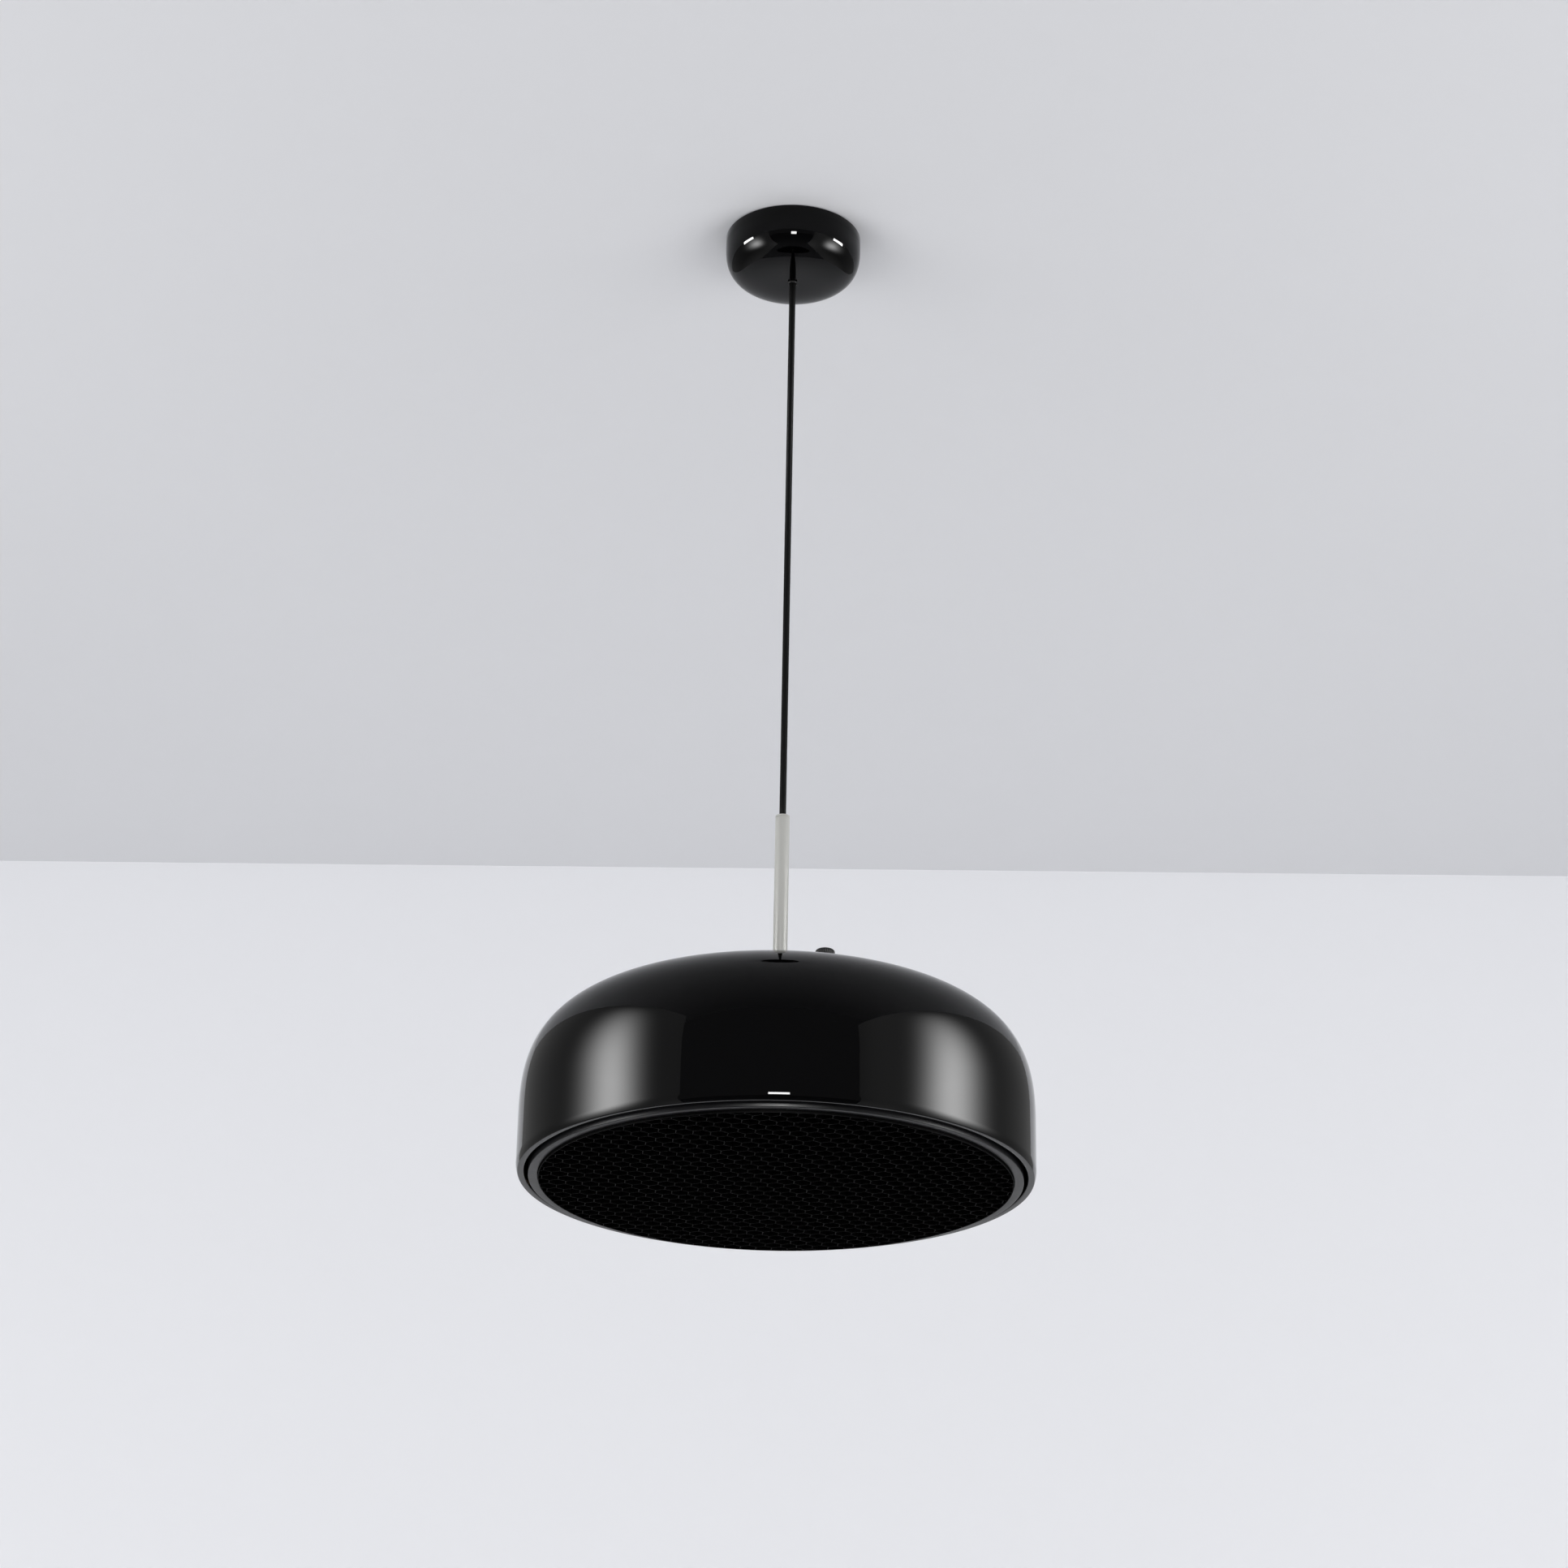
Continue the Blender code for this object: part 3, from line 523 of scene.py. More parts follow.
def spring_tree():
    """Round wire wound into a coil."""
    group, tree, wires = new_tree("spring", [
        ("Geometry", "NodeSocketGeometry", None), ("Turns", "NodeSocketFloat", 4.0),
        ("Radius", "NodeSocketFloat", 0.003), ("Height", "NodeSocketFloat", 0.004),
        ("Wire Radius", "NodeSocketFloat", 0.0004), ("Place", "NodeSocketVector", (0.0, 0.0, 0.0)),
        ("Material", "NodeSocketMaterial", None),
    ])
    coil = tree.add("GeometryNodeCurveSpiral", None, {
        "Resolution": 40, "Rotations": wires["Turns"], "Start Radius": wires["Radius"],
        "End Radius": wires["Radius"], "Height": wires["Height"],
    })
    section = tree.add("GeometryNodeCurvePrimitiveCircle", {"mode": "RADIUS"}, {
        "Resolution": 10, "Radius": wires["Wire Radius"],
    })
    wound = tree.add("GeometryNodeCurveToMesh", None, {
        "Curve": coil, "Profile Curve": section, "Fill Caps": True,
    })
    moved = tree.add("GeometryNodeTransform", None, {"Geometry": wound, "Translation": wires["Place"]})
    close_tree(tree, moved, wires["Material"])
    return group


def honeycomb_tree():
    """Copies of one cell on a hexagonal lattice, out to a reach, turned as a sheet."""
    group, tree, wires = new_tree("honeycomb", [
        ("Geometry", "NodeSocketGeometry", None), ("Pitch", "NodeSocketFloat", 0.0128),
        ("Reach", "NodeSocketFloat", 0.2), ("Rows", "NodeSocketInt", 41),
        ("Turn", "NodeSocketFloat", 0.0), ("Material", "NodeSocketMaterial", None),
    ])
    rows = wires["Rows"]
    index = tree.add("GeometryNodeInputIndex")
    half = (rows / 2).floor()
    j = (index / rows).floor() - half
    i = index % rows - half
    x = (i + (j % 2) * 0.5) * wires["Pitch"]
    y = j * wires["Pitch"] * (math.sqrt(3) / 2)
    far = (x * x + y * y) > wires["Reach"] * wires["Reach"]
    points = tree.add("GeometryNodePoints", None, {"Count": rows * rows, "Position": tree.vector(x, y, 0.0)})
    copies = tree.add("GeometryNodeInstanceOnPoints", None, {
        "Points": points, "Instance": wires["Geometry"], "Selection": 1 - far,
    })
    real = tree.add("GeometryNodeRealizeInstances", None, {0: copies})
    turned_sheet = tree.add("GeometryNodeTransform", None, {
        "Geometry": real, "Rotation": tree.vector(0.0, 0.0, wires["Turn"]),
    })
    merged = tree.add("GeometryNodeMergeByDistance", None, {"Geometry": turned_sheet, "Distance": MERGE})
    close_tree(tree, merged, wires["Material"])
    return group


def linked(name, mesh):
    obj = bpy.data.objects.new(name, mesh)
    bpy.context.scene.collection.objects.link(obj)
    return obj


def mesh_of(name, work, look=None):
    """The mesh of a finished bmesh."""
    mesh = bpy.data.meshes.new(name)
    work.to_mesh(mesh)
    work.free()
    if look:
        mesh.materials.append(look)
    return mesh


def applied(obj):
    """The object with its modifiers' result as its plain mesh."""
    bpy.context.view_layer.update()
    depsgraph = bpy.context.evaluated_depsgraph_get()
    mesh = bpy.data.meshes.new_from_object(obj.evaluated_get(depsgraph))
    obj.modifiers.clear()
    obj.data = mesh
    mesh.name = obj.name
    return obj


def run_tree(obj, group, values):
    """Set a tree's inputs by their identifiers on an object, and keep the result as its mesh."""
    step = obj.modifiers.new(group.name, "NODES")
    step.node_group = group
    for item in group.interface.items_tree:
        if item.item_type == "SOCKET" and item.in_out == "INPUT" and item.name in values:
            step[item.identifier] = values[item.name]
    return applied(obj)


def outward(mesh, sharp=SHARP):
    """Close a mesh's seams, point its faces outwards and shade it smooth up to an angle."""
    work = bmesh.new()
    work.from_mesh(mesh)
    bmesh.ops.remove_doubles(work, verts=work.verts, dist=FINE_MERGE)
    bmesh.ops.dissolve_degenerate(work, edges=work.edges, dist=FINE_MERGE * 0.5)
    bmesh.ops.recalc_face_normals(work, faces=work.faces)
    work.to_mesh(mesh)
    work.free()
    mesh.shade_smooth()
    mesh.set_sharp_from_angle(angle=math.radians(sharp))
    return mesh


def turned(name, outline, look, segments=64, wrap=True, sharp=SHARP, **values):
    """A piece turned from an (r, z) outline.  Extra values are the lathe tree's own inputs."""
    profile = bpy.data.meshes.new(name)
    profile.from_pydata([(r, 0.0, z) for r, z in outline], [], [])
    obj = linked(name, profile)
    inputs = {"Segments": segments, "Points": len(outline), "Wrap": int(wrap), "Material": look}
    inputs.update({key.replace("_", " "): value for key, value in values.items()})
    run_tree(obj, lathe_tree(), inputs)
    outward(obj.data, sharp)
    return obj


def boolean(obj, other, operation):
    """Cut or join with another object, which is used up."""
    step = obj.modifiers.new("boolean", "BOOLEAN")
    step.operation = operation
    step.object = other
    applied(obj)
    bpy.data.objects.remove(other)
    return obj


def arrayed(obj, look, count, step=(0.0, 0.0, 0.0), first=0.0, turn=0.0):
    """Repeat an object along a step and about the Z axis."""
    run_tree(obj, array_tree(), {"Count": count, "Step": step, "First Turn": first, "Turn Step": turn,
                                 "Material": look})
    outward(obj.data)
    return obj


def softened(name, node, look, width, steps=2):
    """A CAD node's shape with its edges rounded."""
    source = frame["nodes"][node]
    work = bmesh.new()
    work.from_mesh(source.data)
    work.transform(source.matrix_world)
    bmesh.ops.remove_doubles(work, verts=work.verts, dist=FINE_MERGE)
    bmesh.ops.dissolve_limit(work, angle_limit=math.radians(1.0), verts=work.verts, edges=work.edges)
    obj = linked(name, mesh_of(name, work, look))
    step = obj.modifiers.new("bevel", "BEVEL")
    step.width = width
    step.segments = steps
    step.limit_method = "ANGLE"
    step.angle_limit = math.radians(40.0)
    applied(obj)
    outward(obj.data, BEVEL_SHARP)
    return obj


def hexagon(name, corner, low, high, look):
    """Upright six-sided prism."""
    work = bmesh.new()
    bmesh.ops.create_cone(work, cap_ends=True, segments=6, radius1=corner, radius2=corner, depth=high - low)
    bmesh.ops.translate(work, verts=work.verts, vec=(0.0, 0.0, (low + high) / 2))
    return linked(name, mesh_of(name, work, look))


def nut(name, corner, hole, low, high, look):
    """Hexagon nut with chamfered faces and a countersunk hole."""
    chamfer, sink = 0.13 * corner, 0.35 * MM
    flat = corner * 0.9
    obj = hexagon(name, corner, low, high, look)
    drum = turned("drum", [(0.0, high), (flat, high), (corner, high - chamfer * 0.6),
                           (corner, low + chamfer * 0.6), (flat, low), (0.0, low)], look, 96, wrap=False)
    boolean(obj, drum, "INTERSECT")
    bore = turned("bore", [(0.0, high + MM), (hole + MM + sink, high + MM), (hole, high - sink),
                           (hole, low + sink), (hole + MM + sink, low - MM), (0.0, low - MM)],
                  look, 48, wrap=False)
    boolean(obj, bore, "DIFFERENCE")
    outward(obj.data, 25.0)
    return obj


def screw(name, x, head_z, head, height, shank, top, look):
    """Pan-head screw with a threaded shank upwards and a cross slot below."""
    low, point = head_z - height, 0.3 * MM
    pitch, depth, run_out = 0.7 * MM, 0.28 * MM, 0.2 * MM
    side, rise = 0.35 * height, 0.65 * height
    crown = [(head * math.cos(a), head_z - side - rise * math.sin(a)) for a in arc(0.0, 90.0, 8)[:-1]]
    outline = [(0.0, top), (shank * 0.7, top), *upright(shank, top - point, head_z, 34),
               (head, head_z), *crown, (0.0, low)]
    obj = turned(name, outline, look, 40, wrap=False, Centre=(x, 0.0, 0.0), Thread_Pitch=pitch,
                 Thread_Depth=depth, Thread_Low=head_z + run_out, Thread_High=top,
                 Thread_Radius=0.8 * shank)
    reach, thin, deep = 0.55 * head, 0.13 * head, 0.5 * height
    for wide, narrow in ((reach, thin), (thin, reach)):
        work = bmesh.new()
        bmesh.ops.create_cube(work, size=2.0)
        size = Matrix.Diagonal((wide, narrow, deep, 1.0))
        bmesh.ops.transform(work, matrix=Matrix.Translation((x, 0.0, low)) @ size, verts=work.verts)
        boolean(obj, linked("slot", mesh_of("slot", work)), "DIFFERENCE")
    return obj


def smoothed(points, steps=6):
    """Curve through (r, z) points."""
    ends = [points[0], *points, points[-1]]
    curve = []
    for p, q, r, s in zip(ends, ends[1:], ends[2:], ends[3:]):
        for k in range(steps):
            t = k / steps
            curve.append(tuple(
                0.5 * (2 * b + (c - a) * t + (2 * a - 5 * b + 4 * c - d) * t * t
                       + (3 * b - a - 3 * c + d) * t ** 3)
                for a, b, c, d in zip(p, q, r, s)
            ))
    return [*curve, points[-1]]


def keep(piece, body, slot, *nodes):
    """Ride a piece on its body in place of its CAD nodes."""
    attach(piece, body)
    if nodes:
        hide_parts(*nodes)
    return piece


def fitted(name, outline, look, body, *nodes, slot=None, **values):
    """A turned piece on its body in place of its CAD nodes.  The slot argument is not used."""
    return keep(turned(name, outline, look(), **values), body, slot or look.__name__, *nodes)


def repaint(look, *names):
    """Give CAD nodes that keep their shape a finish."""
    for name in names:
        slots = frame["nodes"][name].data.materials
        slots.clear()
        slots.append(look)


# ---- settings ----


class ShadeSettings(bpy.types.PropertyGroup):
    """Form of the dome and of the cup, which is the same form made small."""

    wall: bpy.props.FloatProperty(name="Wall height", description="Straight part above the rim",
                                  default=38.4 * MM, unit="LENGTH")
    flat: bpy.props.FloatProperty(name="Flatness", description="Exponent along the radius", default=4.24)
    roundness: bpy.props.FloatProperty(name="Roundness", description="Exponent along the height",
                                       default=2.98)
    sheet: bpy.props.FloatProperty(name="Sheet", description="Thickness of the spun metal",
                                   default=1.5 * MM, unit="LENGTH")
    cup_wall: bpy.props.FloatProperty(name="Cup wall", description="Straight part of the ceiling cup",
                                      default=7.9 * MM, unit="LENGTH")
    cup_sheet: bpy.props.FloatProperty(name="Cup sheet", description="Thickness of the cup",
                                       default=1.2 * MM, unit="LENGTH")


class LouvreSettings(bpy.types.PropertyGroup):
    """The honeycomb sheet."""

    pitch: bpy.props.FloatProperty(name="Pitch", description="Distance between the cells' middles",
                                   default=12.8 * MM, unit="LENGTH")
    wall: bpy.props.FloatProperty(name="Cell wall", description="Thickness between two cells",
                                  default=0.35 * MM, unit="LENGTH")
    turn: bpy.props.FloatProperty(name="Turn", description="Angle of the rows", default=math.radians(7.0),
                                  subtype="ANGLE")


class FinishSettings(bpy.types.PropertyGroup):
    """Colours and gloss."""

    gloss_black: bpy.props.FloatVectorProperty(name="Gloss black", description="Paint of dome and cup",
                                               default=(0.0002, 0.0002, 0.0003), subtype="COLOR")
    gloss_roughness: bpy.props.FloatProperty(name="Gloss roughness", description="Roughness of the paint",
                                             default=0.012)
    gloss_ior: bpy.props.FloatProperty(name="Gloss index", description="Strength of the reflection",
                                       default=1.23)
    stem_white: bpy.props.FloatVectorProperty(name="Stem white", description="Paint of the stem",
                                              default=(0.55, 0.55, 0.518), subtype="COLOR")


class StageSettings(bpy.types.PropertyGroup):
    """Room and light."""

    room_white: bpy.props.FloatVectorProperty(name="Room white", description="Paint of the room",
                                              default=(0.80, 0.805, 0.825), subtype="COLOR")
    uplight: bpy.props.FloatProperty(name="Uplight", description="Power towards the ceiling",
                                     default=18.0, unit="POWER")
    wall_light: bpy.props.FloatProperty(name="Wall light", description="Power towards the wall",
                                        default=40.0, unit="POWER")
    side_glow: bpy.props.FloatProperty(name="Side glow", description="Brightness of the side lights",
                                       default=24.0)
    lens: bpy.props.FloatProperty(name="Lens", description="Focal length in millimetres", default=83.85)


# ---- camera, cord and stage ----


class PENDANT_OT_camera(bpy.types.Operator):
    """Camera below the lamp, looking up past it to the ceiling"""

    bl_idname = "pendant.camera"
    bl_label = "Camera"

    def execute(self, context):
        eye, film_width = (0.0006, -2.7027, -1.6559), 36.0
        pitch, roll = math.radians(23.03), math.radians(1.06)
        data = bpy.data.cameras.new("camera")
        data.sensor_width = film_width
        data.lens = context.scene.pendant_stage.lens
        camera = linked("camera", data)
        camera.location = eye
        look_up = Matrix.Rotation(math.radians(90.0) + pitch, 4, "X")
        camera.rotation_euler = (look_up @ Matrix.Rotation(roll, 4, "Z")).to_euler()
        context.scene.camera = camera
        return {"FINISHED"}


class PENDANT_OT_cord(bpy.types.Operator):
    """Mains cord, hanging straight from the cup to the stem"""

    bl_idname = "pendant.cord"
    bl_label = "Cord"

    def execute(self, context):
        top = CORD_JOINTS["cord_swing"].z
        low = CORD_JOINTS["lamp_tilt"].z
        spans = 32
        cap = arc(0.0, 80.0, 3)[1:]
        route = [(top + CORD_RADIUS * math.sin(turn), math.cos(turn)) for turn in reversed(cap)]
        route += [(top + (low - top) * i / spans, 1.0) for i in range(spans + 1)]
        route += [(low - CORD_RADIUS * math.sin(turn), math.cos(turn)) for turn in cap]
        curve = bpy.data.curves.new("cord_sheath", "CURVE")
        curve.dimensions = "3D"
        curve.bevel_depth = CORD_RADIUS
        curve.bevel_resolution = 6
        curve.use_fill_caps = True
        spline = curve.splines.new("POLY")
        spline.points.add(len(route) - 1)
        for knot, (z, share) in zip(spline.points, route):
            knot.co = (0.0, 0.0, z, 1.0)
            knot.radius = share
        curve.materials.append(black_cable())
        cord = linked("cord_sheath", curve)
        keep(cord, "cord", "black_cable", "cord")
        route[0][0] - route[-1][0]
        2 * CORD_RADIUS
        return {"FINISHED"}


def front_only(made, tree, front):
    """Show a shader on the front of a face, and nothing on its back."""
    clear = tree.add("ShaderNodeBsdfTransparent")
    back = tree.add("ShaderNodeNewGeometry", None, None, "Backfacing")
    mixed = tree.add("ShaderNodeMixShader", None, {0: back, 1: front, 2: clear})
    tree.put(made.node_tree.nodes["Material Output"].inputs["Surface"], mixed)
    return made


def one_sided(name, colour, painted_shade=0.0):
    """Matt paint that is seen only from the room's side.  A third argument paints shade on it, darker
    towards the viewer, where less light falls.
    """
    made, tree, shader = new_material(name)
    slow = tree.noise(tree.place(), 1.3, 3.0)
    paint = tree.mix([c * 0.985 for c in colour], colour, slow)
    # Painted shade: the paint grows darker towards the viewer, standing in for less light there.
    if painted_shade:
        shade_start, shade_rate = -0.36, 1.25
        away = ((shade_start - tree.axes(tree.place())[1]) * shade_rate).clamped()
        paint = tree.mix(paint, [c * painted_shade for c in colour], away)
    tree.put(shader.inputs["Base Color"], paint)
    shader.inputs["Roughness"].default_value = 0.9
    shader.inputs["Specular IOR Level"].default_value = 0.0
    return front_only(made, tree, Wire(tree, shader.outputs[0]))


def plane(name, centre, width, height, facing, look):
    """Rectangle whose front looks along a direction, with its width level."""
    work = bmesh.new()
    bmesh.ops.create_grid(work, x_segments=1, y_segments=1, size=0.5)
    aim = Vector(facing).to_track_quat("Z", "Y").to_matrix().to_4x4()
    size = Matrix.Diagonal((width, height, 1.0, 1.0))
    bmesh.ops.transform(work, matrix=Matrix.Translation(centre) @ aim @ size, verts=work.verts)
    obj = linked(name, mesh_of(name, work, look))
    return obj


def glow(name, strength):
    """One-sided emission, whose strength is an expression of the Object coordinates."""
    made, tree, unused = new_material(name)
    made.node_tree.nodes.remove(unused)
    return front_only(made, tree, tree.add("ShaderNodeEmission", None, {"Strength": strength(tree)}))


def reflected_only(obj):
    """Seen in gloss, but not by the camera, and lights nothing else."""
    obj.visible_camera = False
    obj.visible_diffuse = False
    obj.visible_shadow = False
    obj.visible_transmission = False
    obj.visible_volume_scatter = False
    return obj


def area_light(name, place, target, width, height, power):
    data = bpy.data.lights.new(name, "AREA")
    data.shape = "RECTANGLE"
    data.size = width
    data.size_y = height
    data.energy = power
    lamp = linked(name, data)
    lamp.location = place
    lamp.rotation_euler = (Vector(target) - Vector(place)).to_track_quat("-Z", "Y").to_euler()
    lamp.visible_camera = False
    lamp.visible_glossy = False
    return lamp


class PENDANT_OT_stage(bpy.types.Operator):
    """Pale ceiling, wall and floor, with soft light from both sides"""

    bl_idname = "pendant.stage"
    bl_label = "Stage"

    def execute(self, context):
        stage = context.scene.pendant_stage
        context.scene.view_settings.view_transform = "Standard"
        white = stage.room_white
        # The ceiling gets painted shade, darker towards the viewer.
        ceiling_paint = one_sided("ceiling_paint", [c * 0.95 for c in white], 0.5)
        wall_paint = one_sided("wall_paint", [c * 1.13 for c in white])
        floor_paint = one_sided("floor_paint", [c * 0.55 for c in white])
        wall_y, wall_turn, room = 1.458, math.radians(1.34), 12.0
        ceiling_z, floor_z = CUP_HIGH.z + GAP * 2, -2.6
        ceiling_near, ceiling_far = -1.35, wall_y + 0.2
        plane("ceiling", (0.0, (ceiling_far + ceiling_near) / 2, ceiling_z), room,
              ceiling_far - ceiling_near, (0.0, 0.0, -1.0), ceiling_paint)
        plane("floor", (0.0, wall_y - room / 2, floor_z), room, room, (0.0, 0.0, 1.0), floor_paint)
        plane("wall", (0.0, wall_y, floor_z / 2), room, -floor_z + 0.01,
              (-math.sin(wall_turn), -math.cos(wall_turn), 0.0), wall_paint)

        def hump(y, middle, spread):
            away = (y - middle) / spread
            return (away * away * -0.5).exp()

        def side_strength(middle, spread, wide):
            """A tall bright band, a dim one nearer the viewer, and a paler lower half."""
            band_foot, foot_spread, climb, curve = -0.6, 0.25, -1.92, 1.4
            near_middle, near_spread = -1.0, 0.5
            pale_below, pale, dim = -0.9, 0.45, 0.32

            def strength(tree):
                _, y, z = tree.axes(tree.place())
                below = z.math("MAXIMUM", band_foot - z, 0.0)
                rise = (z * climb).clamped() ** curve * hump(below, 0.0, foot_spread)
                base = hump(y, near_middle, near_spread) * wide + (pale_below - z).clamped() * pale + dim
                return hump(y, middle, spread) * rise * stage.side_glow + base
            return strength

        window_strength, side_x = 90.0, 1.0
        window, window_wide, window_high = (0.03, -2.9, -0.72), 0.44, 0.55
        bar_x, bar_y, bar_z, bar_wide, bar_high = 0.30, -0.088, -0.032, 0.105, 0.04
        for side, middle, spread, wide, near in (
            (-1, -0.37, 0.16, 0.45, -1.19), (1, -0.30, 0.165, 0.65, -1.50),
        ):
            look = glow(f"side_glow_{side + 1}", side_strength(middle, spread, wide))
            panel = plane(f"side_light_{side + 1}", (side * side_x, (near + wall_y) / 2, floor_z / 2),
                          wall_y - near, -floor_z, (-side, 0.0, 0.0), look)
            reflected_only(panel)
            up = glow(f"up_glow_{side + 1}", lambda tree: window_strength)
            bar = plane(f"up_light_{side + 1}", (side * bar_x, bar_y, bar_z), bar_wide, bar_high,
                        (-side, 0.3, 0.45), up)
            reflected_only(bar)
        front = glow("front_glow", lambda tree: window_strength)
        reflected_only(plane("front_light", window, window_wide, window_high, (0.0, 1.0, 0.0), front))

        area_light("uplight", (0.0, -0.6, -2.4), (0.0, -0.4, 0.0), 4.5, 4.0, stage.uplight)
        wall_lamp = 2.0  # metres square
        for side in (-1, 1):
            area_light(f"wall_light_{side + 1}", (side * 2.4, -1.2, -1.5), (side * -0.3, wall_y, -0.6),
                       wall_lamp, wall_lamp, stage.wall_light)
        dusk = (0.30, 0.30, 0.31, 1.0)
        world = bpy.data.worlds.new("room")
        world.use_nodes = True
        world.node_tree.nodes["Background"].inputs["Color"].default_value = dusk
        context.scene.world = world
        return {"FINISHED"}


# ---- ceiling cup ----


class PENDANT_OT_cup(bpy.types.Operator):
    """Spun ceiling cup with its cord bush"""

    bl_idname = "pendant.cup"
    bl_label = "Ceiling cup"

    def execute(self, context):
        shape = context.scene.pendant_shade
        radius, depth = CUP_HIGH.x, CUP_HIGH.z - CUP_LOW.z
        hole, thin, edge = 3.9 * MM, shape.cup_sheet, CUP_HIGH.z
        form = shape.cup_wall, shape.flat, shape.roundness
        outer = dome(radius, depth + GAP, *form, 56, hole)
        inner = dome(radius - thin, depth + GAP - thin, *form, 40, hole)
        lip = [(radius, -edge + 0.4 * MM), (radius - 0.15 * MM, -edge + 0.1 * MM),
               (radius - 0.4 * MM, -edge), (radius - thin, -edge)]
        outline = [(r, -z) for r, z in (*outer, *lip, *reversed(inner))]
        fitted("cup_shell", outline, gloss_black, "ceiling_mount", "ceiling_cup", segments=160)

        bore, neck, collar = CORD_HOLE, 3.6 * MM, BUSH_HIGH.x
        seat = CUP_LOW.z - GAP
        fitted("cord_bush", rounded([
            (bore, BUSH_HIGH.z, 0.0), (neck, BUSH_HIGH.z, 0.3 * MM), (neck, seat, 0.0),
            (collar, seat, 0.25 * MM), (collar, BUSH_LOW.z, 0.55 * MM), (bore, BUSH_LOW.z, 0.3 * MM),
        ]), switch_black, "ceiling_mount", "cup_bush", segments=48)
        nut_low, nut_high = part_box("bush_nut")
        keep(nut("bush_locknut", 6.6 * MM, neck + GAP, nut_low.z, nut_high.z, brass()),
             "ceiling_mount", "brass", "bush_nut")
        return {"FINISHED"}


# ---- stem ----


class PENDANT_OT_stem(bpy.types.Operator):
    """Stem tube with the bush that closes it"""

    bl_idname = "pendant.stem"
    bl_label = "Stem"

    def execute(self, context):
        radius, bore = STEM_HIGH.x, 4.75 * MM
        fitted("stem_pipe", rounded([
            (radius, STEM_HIGH.z, 0.15 * MM), (radius, STEM_LOW.z, 0.2 * MM), (bore, STEM_LOW.z, 0.1 * MM),
            (bore, STEM_HIGH.z, 0.1 * MM),
        ], 3), stem_white, "lamp", "stem_tube")
        neck, hole, step = bore - GAP, CORD_HOLE, STEM_HIGH.z + GAP
        fitted("stem_cap", rounded([
            (hole, CAP_HIGH.z, 0.35 * MM), (radius, CAP_HIGH.z, 0.5 * MM), (radius, step, 0.15 * MM),
            (neck, step, 0.0), (neck, CAP_LOW.z, 0.2 * MM), (hole, CAP_LOW.z, 0.1 * MM),
        ]), stem_white, "lamp", "stem_bush")
        low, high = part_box("stem_nipple")
        bore, pitch, depth = 3.1 * MM, 1.0 * MM, 0.3 * MM
        fitted("threaded_nipple", [*upright(high.x, high.z, low.z, 240), (bore, low.z), (bore, high.z)],
               zinc_steel, "lamp", "stem_nipple", segments=40, Thread_Pitch=pitch, Thread_Depth=depth,
               Thread_Low=low.z, Thread_High=high.z, Thread_Radius=bore + 0.5 * MM)
        low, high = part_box("stem_washer")
        fitted("flat_washer", rounded([
            (high.x, high.z, 0.3 * MM), (high.x, low.z, 0.3 * MM), (NIPPLE_HOLE, low.z, 0.2 * MM),
            (NIPPLE_HOLE, high.z, 0.2 * MM),
        ]), zinc_steel, "lamp", "stem_washer")
        low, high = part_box("stem_nut")
        keep(nut("stem_locknut", 8.1 * MM, NIPPLE_HOLE, low.z, high.z, zinc_steel()),
             "lamp", "zinc_steel", "stem_nut")
        return {"FINISHED"}


# ---- shade ----


class PENDANT_OT_shade(bpy.types.Operator):
    """Spun dome with its curled lower edge and flat lip"""

    bl_idname = "pendant.shade"
    bl_label = "Shade"

    def execute(self, context):
        shape = context.scene.pendant_shade
        sheet, inside = shape.sheet, SHADE_RADIUS - shape.sheet
        form = shape.wall, shape.flat, shape.roundness
        outer = dome(SHADE_RADIUS, SHADE_HEIGHT, *form, 96, NIPPLE_HOLE)
        inner = dome(inside, SHADE_HEIGHT - sheet, *form, 60, NIPPLE_HOLE)
        lip, lip_height = 193.4 * MM, 5.6 * MM
        curl, curl_height, curl_turn = 14.0 * MM, 6.5 * MM, 20.0
        turn_in = [
            (SHADE_RADIUS - curl * (1 - math.cos(a)), curl_height - curl * math.sin(a))
            for a in arc(0.0, curl_turn, 8)
        ]
        rim = rounded([
            (*turn_in[-1], 0.0), (SHADE_RADIUS - 1.5 * MM, 0.0, 1.0 * MM), (lip, 0.0, 1.1 * MM),
            (lip, lip_height, 0.6 * MM), (inside, lip_height + 1.6 * MM, 0.8 * MM),
            (inside, shape.wall, 0.0),
        ], 7)[1:-1]
        outline = [(r, RIM_Z + z) for r, z in (*outer, *turn_in, *rim, *reversed(inner))]
        shell = turned("shade_dome", outline, gloss_black(), 224, sharp=BEVEL_SHARP)
        high, low = SHADE_HIGH.z + MM, RIM_Z + shape.wall
        drill = turned("drill", [(0.0, high), (SWITCH_HOLE, high), (SWITCH_HOLE, low), (0.0, low)],
                       gloss_black(), 48, wrap=False, Centre=(SWITCH.x, SWITCH.y, 0.0))
        boolean(shell, drill, "DIFFERENCE")
        shell.data.set_sharp_from_angle(angle=math.radians(BEVEL_SHARP))
        keep(shell, "lamp", "gloss_black", "shade")
        return {"FINISHED"}


# ---- push switch ----


